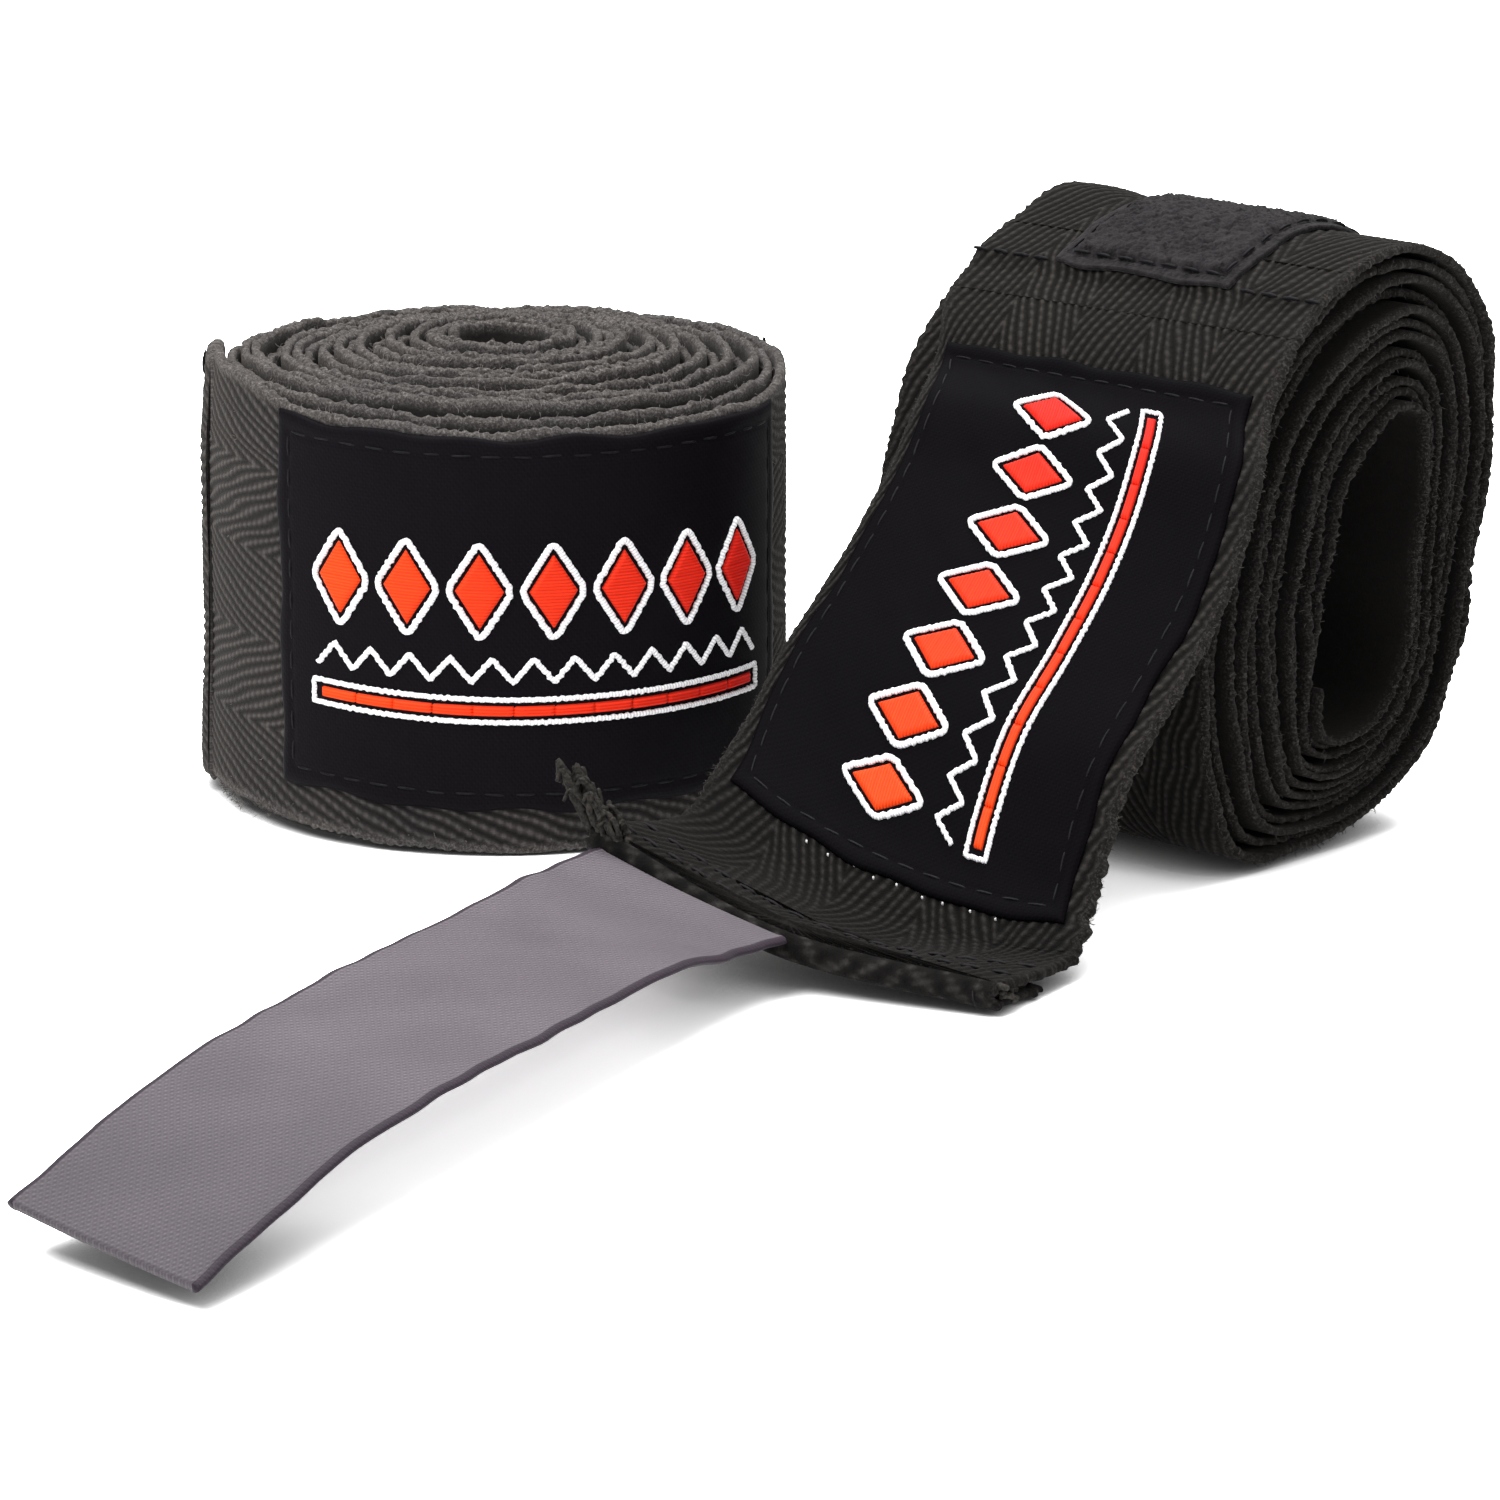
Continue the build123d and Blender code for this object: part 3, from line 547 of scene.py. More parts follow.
# inner turns: irregular gaps so that groups of turns read apart
TURNS = (R_OUT - R_CORE) / PITCH
d = np.arange(A_END + 372.6, A_END + 360 * TURNS, 0.8)
turn = (d - A_END) / 360.0
gap = 0.30 * wob(turn, 2.1, 31) + 0.13 * wob(turn, 0.41, 33)
amp = sstep(turn, 1.0, 2.0)
R = rad(d) - HB - 0.05 + gap * amp * 0.75
drop = np.zeros_like(turn)
for ct, wd, dp in ((1.55, 0.40, 1.5), (3.75, 0.45, 1.7), (5.6, 0.28, 1.1), (7.45, 0.5, 1.6), (9.8, 0.35, 1.2), (11.6, 0.55, 1.7), (13.9, 0.4, 1.3),
                   (15.4, 0.3, 1.2)):
    drop = drop + dp * np.exp(-((turn - ct) / wd) ** 4)
left = np.exp(-((((d + 80) + 180) % 360 - 180) / 62.0) ** 2) * (1 - sstep(turn, 2.5, 7.0)) * 1.2
au = arc_len(d)
C = pol3(R, d, 25 + turn_lift(turn) + 0.12 * wob(au, 26, 37))
up_a = left - drop + 0.22 * wob(turn, 0.9, 35) + 0.16 * wob(au, 8, 39)


def upper_edge(U, V):
    return np.interp(U, au, up_a) * sstep(V, 4, 25)


N = a_frames(d, R)
W = np.tile([0, 0, 1.0], (len(d), 1))
a_inner = band("closed_inner_turns", arc_len(d), C, N, W, M_A, nv=12, t=1.06, rib_amp=0.0, seed=4, fuzz=0.13, loop=0.16, slow=0.1, lift=upper_edge)
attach(a_inner, "closed_wrap")
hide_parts("closed_band_roll")

# hem at the outer end: cloth folded double
d = np.arange(A_END - 0.5, A_END + 12.6, 0.42)
R = rad(d) - HB + 0.45
C = pol3(R, d, 25 + first_lift(d) - 0.3)
N = a_frames(d, R)
W = np.tile([0, 0, 1.0], (len(d), 1))
a_hem = band("closed_hem", arc_len(d), C, N, W, M_A, nv=190, t=2.1, seed=6, fuzz=0.2, push=end_push,
             tfun=lambda u: 2.15 - 0.9 * sstep(u, 5.2, 7.4) - 0.5 * (1 - sstep(u, -0.4, 1.0)))
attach(a_hem, "closed_wrap")
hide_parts("closed_band_hem")


# --------------------------------------------------------------- open roll
yaw = math.radians(YAW)
wB = np.array([math.cos(yaw), -math.sin(yaw), 0.0])
pB = np.array([math.sin(yaw), math.cos(yaw), 0.0])
CB = np.array([18.5, 32.0])
ZU = np.array([0, 0, 1.0])


def polar_table(pts):
    rows = []
    for p, z in pts:
        v = np.array([p, z]) - CB
        rows.append((math.degrees(math.atan2(v[0], v[1])) % 360.0, float(np.hypot(*v))))
    rows.sort()
    a = np.array([r[0] for r in rows])
    r = np.array([r[1] for r in rows])
    return np.concatenate([a[-3:] - 360, a, a[:3] + 360]), np.concatenate([r[-3:], r, r[:3]])


OA, ORr = polar_table(OUTER)
CA, CRr = polar_table(CORE)
SEAM_A = math.degrees(math.atan2(7.9 - CB[0], 61.6 - CB[1]))


def b_uv(turn, off=0.0):
    """Band outer surface in the roll's end plane, mm."""
    turn = np.asarray(turn, float)
    a = SEAM_A + 360.0 * turn
    u = turn / B_TURNS
    ro = hermite(a % 360.0, OA, ORr)
    rc = hermite(a % 360.0, CA, CRr)
    r = ro - (ro - rc) * u - off * (ro - rc) / B_TURNS
    rr = np.radians(a)
    return np.stack([CB[0] + r * np.sin(rr), CB[1] + r * np.cos(rr)], -1)


def to3(q, x=0.0):
    q = np.asarray(q, float)
    return OB + pB * q[..., 0:1] + ZU * q[..., 1:2] + wB * np.asarray(x, float)[..., None]


def b_frames(tn, inset):
    """Centre line, outward normal and length along the open roll's band."""
    q = b_uv(tn)
    t2 = unit(np.gradient(q, axis=0))
    n2 = np.stack([-t2[:, 1], t2[:, 0]], -1)
    n2 = n2 * np.sign(np.sum(n2 * (q - CB), -1))[:, None]
    L = np.concatenate([[0], np.cumsum(np.linalg.norm(np.diff(q, axis=0), axis=1))])
    c = q - n2 * inset
    return c, n2, L


class Path:
    def __init__(self, rows):
        r = np.array(rows, float)
        self.s, self.m, self.a = r[:, 0], r[:, 1:4], r[:, 4:6]

    def at(self, s):
        s = np.clip(np.asarray(s, float), self.s[0] + 0.01, self.s[-1] - 0.01)
        m = hermite(s, self.s, self.m)
        t = unit(hermite(s + 0.05, self.s, self.m) - hermite(s - 0.05, self.s, self.m))
        an = np.radians(hermite(s, self.s, self.a))
        y, e = an[..., 0], an[..., 1]
        w = np.stack([np.cos(y) * np.cos(e), -np.sin(y) * np.cos(e), np.sin(e)], -1)
        n = unit(np.cross(w, t))
        n = n * np.where(n[..., 2:3] < 0, -1, 1)
        return m, t, n, w


rows = []
for dlt, x, el in ((0.0, 1.2, 0.5), (9.0, 1.8, 0.4), (18.0, 2.4, 0.2), (27.0, 3.0, 0.0)):
    q = b_uv(1 - dlt / 360.0)
    dd = (q - CB) / np.linalg.norm(q - CB)
    q = q + dd * (HB + 0.22)
    rows.append(tuple(OB + pB * q[0] + ZU * q[1] + wB * x) + (YAW, el))
rows += TAIL
arc = np.concatenate([[0.0], np.cumsum(np.linalg.norm(np.diff(np.array(rows)[:, :3], axis=0), axis=1))])
TAIL_END = float(arc[-1])
tail = Path([(a,) + tuple(r) for a, r in zip(arc, rows)])
tape = Path(TAPE)

# outer turn of the open roll
tn = np.arange(0.03, 1.06, 0.0016)
c, n2, L = b_frames(tn, HB)
W = np.tile(wB, (len(tn), 1))
xoff = 1.2 * (1 - sstep(tn, 0, 0.4))
C = to3(c, xoff)
N3 = pB * n2[:, 0:1] + ZU * n2[:, 1:2]


def shoulder(U, V):
    """The left edge bulges beside the loop patch."""
    Lq = -6 - U
    return 1.2 * sstep(-V, 11, 21) * sstep(Lq, 2, 12) * (1 - sstep(Lq, 34, 52))


b_outer = band("open_outer_turn", -6 - L, C, N3, W, M_B, nv=200, seed=12, tfun=lambda u: np.full(len(u), 1.05), push=shoulder)
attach(b_outer, "open_wrap")
# inner turns
tn = np.arange(1.0605, B_TURNS - 0.35, 0.0030)
q0, n2, L = b_frames(tn, 0.0)
loc = np.linalg.norm(b_uv(tn) - b_uv(tn, 1.0), axis=1)         # local pitch
grp = 0.34 * wob(tn, 1.7, 41) + 0.14 * wob(tn, 0.45, 43)
inner = sstep(tn, 7.0, 11.0)
shift = grp * sstep(tn, 1.0, 2.2) * 0.8 + inner * 0.35 * wob(L, 17, 45)
thick = np.clip(loc * 0.66, 0.6, 1.15)
c = q0 - n2 * (thick / 2 + 0.10 * loc + (shift * loc * 0.55))[:, None]
bdrop = np.zeros_like(tn)
for ct, wd, dp in ((1.5, 0.35, 1.4), (3.3, 0.5, 1.6), (5.2, 0.4, 1.4), (7.1, 0.5, 1.7), (8.9, 0.4, 1.3), (10.3, 0.45, 1.6)):
    bdrop = bdrop + dp * np.exp(-((tn - ct) / wd) ** 4)
C = to3(c, 0.5 * wob(tn, 1.1, 47) + 0.3 * wob(L, 31, 49) - bdrop + 0.5)
N3 = pB * n2[:, 0:1] + ZU * n2[:, 1:2]
W = np.tile(wB, (len(tn), 1))
b_inner = band("open_inner_turns", -200 - L, C, N3, W, M_B, nv=12, seed=14, rib_amp=0.0, fuzz=0.15, loop=0.16, slow=0.12, tfun=lambda u: thick * 0.92)
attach(b_inner, "open_wrap")
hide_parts("open_band_roll")

IN_C, IN_N = C, N3
# strip of band through the top seam, shared by roll and tail
S1 = 5.0
tnb = np.linspace(0.0305, 0.004, 24)
cb, nb2, _ = b_frames(tnb, HB)
Cb = to3(cb, 1.2 * (1 - sstep(tnb, 0, 0.4)))
Nb = pB * nb2[:, 0:1] + ZU * nb2[:, 1:2]
ss = np.linspace(1.2, S1, 20)
m, t, n, w = tail.at(ss)
Cs = np.concatenate([Cb, m])
Ns = unit(np.concatenate([Nb, n]))
Ws = np.concatenate([np.tile(wB, (len(tnb), 1)), w])
us = np.concatenate([[0], np.cumsum(np.linalg.norm(np.diff(Cs, axis=0), axis=1))]) - 6 - 0.0
uu = np.linspace(us[0], us[-1], 44)
Cs = np.stack([np.interp(uu, us, Cs[:, k]) for k in range(3)], -1)
Ns = unit(np.stack([np.interp(uu, us, Ns[:, k]) for k in range(3)], -1))
Ws = unit(np.stack([np.interp(uu, us, Ws[:, k]) for k in range(3)], -1))
b_seam = band("open_seam_strip", uu, Cs, Ns, Ws, M_B, nv=200, seed=16, tfun=lambda u: np.full(len(u), 1.1))
U_SEAM_END = uu[-1]
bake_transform(b_seam)

# tail with its skewed end carried into the hem
m1, t1, n1, w1 = tail.at(TAIL_END)


def hem_front(f):
    return hermite(f, [0.0, 0.5, 1.0], np.array([HL, HM, HR]))


def bowed(s, v):
    """Tail sheet: straight across at the roll, hanging lower in the middle towards the hem."""
    m, t, n, w = tail.at(np.minimum(s, TAIL_END - 0.02))
    b = (sstep(s, 44, TAIL_END + 2) * (1 - np.clip(v / 25.0, -1, 1) ** 2))[..., None]
    vv = np.where(v < -21, -21 + (v + 21) * (1 - 0.5 * sstep(s, 6, 14) * (1 - sstep(s, 66, TAIL_END))), v)
    return m + w * vv[..., None] + t * (2.6 * b) - ZU * (1.9 * b)


def hem_start(v):
    return bowed(np.full(np.shape(v), TAIL_END), v)


def tail_surface(s, v):
    """Point at arc s, cross position v (arrays); past the tail's end it runs on to the hem line."""
    P = bowed(s, v)
    over = s > TAIL_END
    f = np.clip(v / BAND_W + 0.5, -0.02, 1.02)
    a = hem_start(v)
    e = hem_front(np.clip(f, 0, 1))
    Lf = np.linalg.norm(e - a, axis=-1)
    x = np.clip((s - TAIL_END) / 26.0, 0, 1)       # parameter to the hem line
    # leave along the tail, arrive level at the hem line
    h0 = t1 * (Lf * (1 - 0.65 * sstep(v, 2, 25)))[..., None]
    h1 = unit((e - a) * np.array([1, 1, 0.25])) * Lf[..., None]
    xx = x[..., None]
    Pe = (2*xx**3 - 3*xx**2 + 1) * a + (xx**3 - 2*xx**2 + xx) * h0 + (-2*xx**3 + 3*xx**2) * e + (xx**3 - xx**2) * h1
    P = np.where(over[..., None], Pe, P)
    return P


def grid_band(name, S, mat, nv, t, seed, v_span=(-25.0, 25.0), surf=tail_surface, u_of=None, inset=0.0, rib_amp=0.24):
    """Band over a general surface: computes normals from the grid itself."""
    r = t / 2
    vs = np.linspace(v_span[0] + r, v_span[1] - r, nv)
    Sg, Vg = np.meshgrid(S, vs, indexing="ij")
    side = np.sign(Vg)
    far = sstep(np.abs(Vg), 21.0, 25.0)
    U = Sg if u_of is None else u_of(Sg, Vg)
    lp = np.abs(np.sin(math.pi * (U / 1.15 + 0.15 * wob(U, 9, seed + 3)))) ** 0.7
    scal = (side > 0) * sstep(U, 52, 66) * 0.26 * wob(U, 3.2, seed + 21)
    dv = side * far * (0.15 * wob(U + 37 * side, 14, seed + 5) + 0.12 * wob(U + 5 * side, 1.7, seed + 9) + 0.22 * (lp - 0.5) + scal)
    Pm = surf(Sg, Vg + dv)
    du = np.gradient(Pm, axis=0)
    dw = np.gradient(Pm, axis=1)
    n = unit(np.cross(dw, du))
    n = n * np.where(np.mean(n[..., 2]) < 0, -1, 1)
    wdir = unit(dw)
    rr = rib(U, Vg)
    near = sstep(25.0 - np.abs(Vg), 0.6, 2.2)
    disp = rib_amp * (rr - 0.5) * near
    top = Pm + n * (r + disp + inset)[..., None]
    bot = Pm - n * (r + 0 * disp - inset)[..., None]
    ang = np.linspace(math.pi / 2, -math.pi / 2, 6)[1:-1]

    def edge(k, sg):
        return np.stack([Pm[:, k] + wdir[:, k] * (sg * r * math.cos(a)) + n[:, k] * (r * math.sin(a) + inset) for a in ang], 1)
    ci = np.unique(np.concatenate([np.arange(0, nv, 5), [nv - 1]]))[::-1]
    P = rest_on_floor(np.concatenate([top, edge(-1, 1), bot[:, ci], edge(0, -1)[:, ::-1]], 1))
    Uf = np.concatenate([U, np.repeat(U[:, -1:], 4, 1), U[:, ci], np.repeat(U[:, :1], 4, 1)], 1)
    Vf = np.concatenate([Vg, np.full((len(S), 4), 25.0), Vg[:, ci], np.full((len(S), 4), -25.0)], 1)
    ob = ring_mesh(name, P, np.stack([Uf, Vf], -1), mat, {"edge": sstep(np.abs(Vf), 23.4, 24.8), "rib": rib(Uf, Vf)})
    return outward(ob)


def tail_u(s, v):
    """Length coordinate along the cloth, continued past the tail's end by the real cloth length."""
    f = np.clip(v / BAND_W + 0.5, 0, 1)
    a = hem_start(v)
    Lf = np.linalg.norm(hem_front(f) - a, axis=-1)
    return np.where(s > TAIL_END, TAIL_END + (s - TAIL_END) / 26.0 * Lf, s)


S = np.concatenate([np.arange(S1 + 0.05, TAIL_END, 0.30), np.linspace(TAIL_END + 0.05, TAIL_END + 26.0, 90)])
b_tail = grid_band("open_tail_cloth", S, M_B, 210, BAND_T, 18, u_of=tail_u)
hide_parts("open_tail_band", "open_band_hem")
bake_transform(b_tail)


# folded hem: the turned-under layer with its curled edge
def fold_surface(s, v):
    """s in 0..1: from the hem line round the turn and back underneath."""
    f = np.clip(v / BAND_W + 0.5, 0, 1)
    a = hem_start(v)
    e = hem_front(f)
    d = unit((e - a) * np.array([1, 1, 0.25]))
    al = unit(hem_front(np.clip(f + 0.02, 0, 1)) - hem_front(np.clip(f - 0.02, 0, 1)))
    n = unit(np.cross(al, d))
    n = n * np.where(n[..., 2:3] < 0, -1, 1)
    rt = 0.95
    th = np.clip(s / 0.35, 0, 1) * math.pi
    back = np.clip((s - 0.35) / 0.65, 0, 1) * (7.5 + 1.2 * wob(v, 11, 61))
    droop = np.clip((s - 0.35) / 0.65, 0, 1) ** 2 * (0.7 + 0.5 * wob(v, 17, 63))
    P = e + d * (rt * np.sin(th) - back)[..., None] + n * (-rt + rt * np.cos(th) - droop * 0.6)[..., None]
    return P


S = np.linspace(0.0, 1.0, 96)
# the fold takes the darker hem knit (painted shade)
b_fold = grid_band("open_hem_fold", S, M_BHEM_SHADED, 260, 1.05, 20, surf=fold_surface, u_of=lambda s, v: 104 + s * 12, rib_amp=0.36)
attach(b_fold, "open_hem")


# ---------------------------------------------------------- label mapping
labc_a = (LAB_A0 + LAB_A1) / 2
labc_s = (LAB_S0 + LAB_S1) / 2


def map_a(u, v, h):
    """Label coordinates on the closed roll: u along, v up, h above the band."""
    dg = 0.0 + labc_a + np.degrees(u / R_OUT)
    r = rad(dg) + 0.10 + h
    up = 25 + LAB_UP + v + first_lift(dg) * 0.85 + turn_lift((dg - A_END) / 360.0)
    push = 0.75 * (1 - sstep(dg, -92, -52))
    return pol3(r + push, dg, 0) + np.stack([0 * u, 0 * u, up], -1)


def surf_normal(s, v, e=0.2):
    Pu = tail_surface(s + e, v) - tail_surface(s - e, v)
    Pv = tail_surface(s, v + e) - tail_surface(s, v - e)
    n = unit(np.cross(Pv, Pu))
    return n * np.where(n[..., 2:3] < 0, -1, 1)


def map_b(u, v, h):
    s = labc_s - u
    return tail_surface(s, -v) + surf_normal(s, -v) * (HB + 0.12 + h)[..., None]


def sheet(name, u0, u1, v0, v1, t, mp, mat, du=0.5, seed=0, pucker=True):
    """Sewn cloth patch with rounded, folded edges."""
    nu, nv = int((u1 - u0) / du), int((v1 - v0) / du)
    us = np.linspace(u0, u1, nu)
    vs = np.linspace(v0, v1, nv)
    U, Vv = np.meshgrid(us, vs, indexing="ij")
    ed = np.minimum(np.minimum(U - u0, u1 - U), np.minimum(Vv - v0, v1 - Vv))
    hgt = t * (0.35 + 0.65 * np.sqrt(np.clip(ed / 0.7, 0, 1)))
    if pucker:
        # folded hem of the label stands a little, stitch line pulls down
        hgt = hgt + 0.03 * np.exp(-((ed - 1.1) / 0.55) ** 2) - 0.10 * np.exp(-((ed - 2.0) / 0.28) ** 2)
        hgt = hgt + 0.05 * wob(U, 9, seed) * wob(Vv, 8, seed + 1)
    wav = 0.28 * wob(U, 13, seed + 2) * np.exp(-np.minimum(Vv - v0, v1 - Vv) / 2.0)
    Vw = Vv + wav * np.sign(Vv)
    Uw = U + 0.22 * wob(Vv, 12, seed + 4) * np.exp(-np.minimum(U - u0, u1 - U) / 2.0) * np.sign(U)
    top = mp(Uw, Vw, hgt)
    bot = mp(Uw, Vw, np.full_like(U, -0.05))
    n = nu * nv
    V3 = np.concatenate([top.reshape(-1, 3), bot.reshape(-1, 3)])
    i = (np.arange(nu - 1)[:, None] * nv + np.arange(nv - 1)[None, :]).reshape(-1)
    q1 = np.stack([i, i + nv, i + nv + 1, i + 1], -1)
    q2 = q1[:, ::-1] + n
    bd = np.concatenate([np.arange(nv), nv - 1 + nv * np.arange(1, nu), (nu - 1) * nv + np.arange(nv - 2, -1, -1), nv * np.arange(nu - 2, -1, -1)])
    if bd[-1] == bd[0]:
        bd = bd[:-1]
    bn = np.roll(bd, -1)
    q3 = np.stack([bd, bn, bn + n, bd + n], -1)
    uv = np.concatenate([np.stack([U, Vv], -1).reshape(-1, 2)] * 2)
    return outward(make(name, V3, [q1, q2, q3], uv, mat))


def rods(name, segs, mp, mat, r=0.2, n=7, body=None, bow=0.12):
    """Many short stitches: segs rows (u0, v0, u1, v1, h); each a closed capsule that dips at both ends."""
    Vs, Fs, off = [], [], 0
    k = 9
    for (a0, b0, a1, b1, h) in segs:
        tt = np.linspace(0, 1, k)
        u = a0 + (a1 - a0) * tt
        v = b0 + (b1 - b0) * tt
        hh = h + bow * np.sin(math.pi * tt) - 0.10
        rr = r * np.sqrt(np.clip(1 - (2 * tt - 1) ** 6, 0.05, 1))
        L = math.hypot(a1 - a0, b1 - b0)
        cu, cv = -(b1 - b0) / L, (a1 - a0) / L
        an = np.linspace(0, 2 * math.pi, n, endpoint=False)
        uu = u[:, None] + cu * rr[:, None] * np.cos(an)
        vv = v[:, None] + cv * rr[:, None] * np.cos(an)
        h3 = hh[:, None] + rr[:, None] * np.sin(an)
        P = mp(uu, vv, h3).reshape(-1, 3)
        P = np.concatenate([P, [mp(u[:1], v[:1], hh[:1])[0], mp(u[-1:], v[-1:], hh[-1:])[0]]])
        Vs.append(P)
        q = tube_faces(k, n) + off
        j = np.arange(n)
        jj = (j + 1) % n
        t0 = np.stack([np.full(n, off + k * n), off + jj, off + j], -1)
        t1_ = np.stack([np.full(n, off + k * n + 1), off + (k - 1) * n + j, off + (k - 1) * n + jj], -1)
        Fs.append((q, t0, t1_))
        off += len(P)
    V3 = np.concatenate(Vs)
    q = np.concatenate([f[0] for f in Fs])
    t = np.concatenate([f[1] for f in Fs] + [f[2] for f in Fs])
    ob = outward(make(name, V3, [q, t], np.zeros((len(V3), 2)), mat))
    return ob


def run_stitches(u0, u1, v0, v1, pitch, length, h, seed):
    r = np.random.default_rng(seed)
    out = []
    n = int((u1 - u0) / pitch)
    for i in range(n):
        c = u0 + (i + 0.5) * (u1 - u0) / n
        for v in (v0, v1):
            j = r.normal(0, 0.06, 3)
            out.append((c - length / 2 + j[0], v + j[1], c + length / 2, v + j[2], h))
    n = int((v1 - v0) / pitch)
    for i in range(n):
        c = v0 + (i + 0.5) * (v1 - v0) / n
        for u in (u0, u1):
            j = r.normal(0, 0.06, 3)
            out.append((u + j[0], c - length / 2, u + j[1], c + length / 2 + j[2], h))
    return out


def strip_along(pts, width, h, closed, step=0.22, dome=0.32):
    """Satin-stitched line: returns centre points, their unit normals and lengths along a polyline in label coordinates.
    """
    pts = np.array(pts, float)
    if closed:
        pts = np.concatenate([pts, pts[:1]])
    seg = np.linalg.norm(np.diff(pts, axis=0), axis=1)
    L = np.concatenate([[0], np.cumsum(seg)])
    n = max(8, int(L[-1] / step))
    x = np.linspace(0, L[-1], n + 1)[: (-1 if closed else None)]
    c = np.stack([np.interp(x, L, pts[:, 0]), np.interp(x, L, pts[:, 1])], -1)
    if closed:
        tg = unit(np.roll(c, -1, 0) - np.roll(c, 1, 0))
    else:
        tg = unit(np.gradient(c, axis=0))
    nn = np.stack([-tg[:, 1], tg[:, 0]], -1)
    return c, nn, x


EMB_FACES = {}


def emb_strip(pts, width, h0, dome, mp, closed):
    c, nn, x = strip_along(pts, width, h0, closed)
    k = 7
    a = np.linspace(math.pi, 0, k)
    wv = np.cos(a) * width / 2
    hv = np.sin(a) * dome
    jit = 0.07 * wob(x, 0.9, int(abs(pts[0][0]) * 10) + 3)
    U = c[:, 0:1] + nn[:, 0:1] * (wv + jit[:, None])
    Vv = c[:, 1:2] + nn[:, 1:2] * (wv + jit[:, None])
    rid = 0.05 * np.sin(2 * math.pi * x / 0.45)
    H = h0 + hv + rid[:, None] * np.sin(a)
    # floor of the strip closes it
    U = np.concatenate([U, U[:, ::-1][:, 1:-1]], 1)
    Vv = np.concatenate([Vv, Vv[:, ::-1][:, 1:-1]], 1)
    H = np.concatenate([H, np.full((len(x), k - 2), h0 - 0.12)], 1)
    P = mp(U, Vv, H)
    nu, nr = P.shape[:2]
    if closed:
        i = np.arange(nu)[:, None] * nr
        i2 = ((np.arange(nu) + 1) % nu)[:, None] * nr
        j = np.arange(nr)[None, :]
        j2 = (j + 1) % nr
        q = np.stack([i + j, i + j2, i2 + j2, i2 + j], -1).reshape(-1, 4)
        tri = np.zeros((0, 3), int)
        V3 = P.reshape(-1, 3)
        uv = np.stack([U, Vv], -1).reshape(-1, 2)
        lay = np.repeat(x[:, None], nr, 1).reshape(-1)
    else:
        q = tube_faces(nu, nr)
        V3 = np.concatenate([P.reshape(-1, 3), [P[0].mean(0), P[-1].mean(0)]])
        j = np.arange(nr)
        jj = (j + 1) % nr
        n0 = nu * nr
        tri = np.concatenate([np.stack([np.full(nr, n0), jj, j], -1), np.stack([np.full(nr, n0 + 1), (nu - 1) * nr + j, (nu - 1) * nr + jj], -1)])
        uv = np.stack([U, Vv], -1).reshape(-1, 2)
        uv = np.concatenate([uv, [uv[0], uv[-1]]])
        lay = np.concatenate([np.repeat(x[:, None], nr, 1).reshape(-1), [x[0], x[-1]]])
    return V3, q, tri, uv, lay


def emb_fill(corners, h0, mp, nx=26, ny=26, dome=0.42, horiz=True):
    """Filled satin patch over a four-sided outline (corner order round the shape)."""
    c = np.array(corners, float)
    a, b = np.meshgrid(np.linspace(0, 1, nx), np.linspace(0, 1, ny), indexing="ij")
    U = (1 - a) * (1 - b) * c[0, 0] + a * (1 - b) * c[1, 0] + a * b * c[2, 0] + (1 - a) * b * c[3, 0]
    Vv = (1 - a) * (1 - b) * c[0, 1] + a * (1 - b) * c[1, 1] + a * b * c[2, 1] + (1 - a) * b * c[3, 1]
    e = np.minimum(np.minimum(a, 1 - a), np.minimum(b, 1 - b))
    H = h0 + dome * np.clip(e / 0.10, 0, 1) ** 0.5 + 0.045 * np.sin(2 * math.pi * Vv / 0.5) * (e > 0.02)
    top = mp(U, Vv, H).reshape(-1, 3)
    bot = mp(U, Vv, np.full_like(U, h0 - 0.12)).reshape(-1, 3)
    n = nx * ny
    i = (np.arange(nx - 1)[:, None] * ny + np.arange(ny - 1)[None, :]).reshape(-1)
    q1 = np.stack([i, i + ny, i + ny + 1, i + 1], -1)
    q2 = q1[:, ::-1] + n
    bd = np.concatenate([np.arange(ny), ny - 1 + ny * np.arange(1, nx), (nx - 1) * ny + np.arange(ny - 2, -1, -1), ny * np.arange(nx - 2, 0, -1)])
    bn = np.roll(bd, -1)
    q3 = np.stack([bd, bn, bn + n, bd + n], -1)
    uv = np.concatenate([np.stack([U, Vv], -1).reshape(-1, 2)] * 2)
    lay = np.concatenate([Vv.reshape(-1)] * 2)
    return np.concatenate([top, bot]), np.concatenate([q1, q2, q3]), np.zeros((0, 3), int), uv, lay


def join(name, parts, mat):
    V3, Qs, Ts, UV, LY, off = [], [], [], [], [], 0
    for v, q, t, uv, lay in parts:
        V3.append(v)
        Qs.append(q + off)
        if len(t):
            Ts.append(t + off)
        UV.append(uv)
        LY.append(lay)
        off += len(v)
    faces = [np.concatenate(Qs)] + ([np.concatenate(Ts)] if Ts else [])
    ob = make(name, np.concatenate(V3), faces, np.concatenate(UV), mat, True, {"lay": np.concatenate(LY)})
    return outward(ob)


def rounded_loz(cu, cv, w, h, n=7, rr=0.16):
    """Lozenge outline with slightly rounded corners."""
    pts = np.array([(cu - w / 2, cv), (cu, cv - h / 2), (cu + w / 2, cv), (cu, cv + h / 2)])
    out = []
    for i in range(4):
        p, a, b = pts[i], pts[i - 1], pts[(i + 1) % 4]
        p0 = p + (a - p) * rr
        p1 = p + (b - p) * rr
        for t in np.linspace(0, 1, n):
            out.append((1 - t) ** 2 * p0 + 2 * t * (1 - t) * p + t * t * p1)
    return np.array(out)


LOZ_W, LOZ_H, LOZ_N, LOZ_PITCH = 6.6, 11.0, 7, 7.7


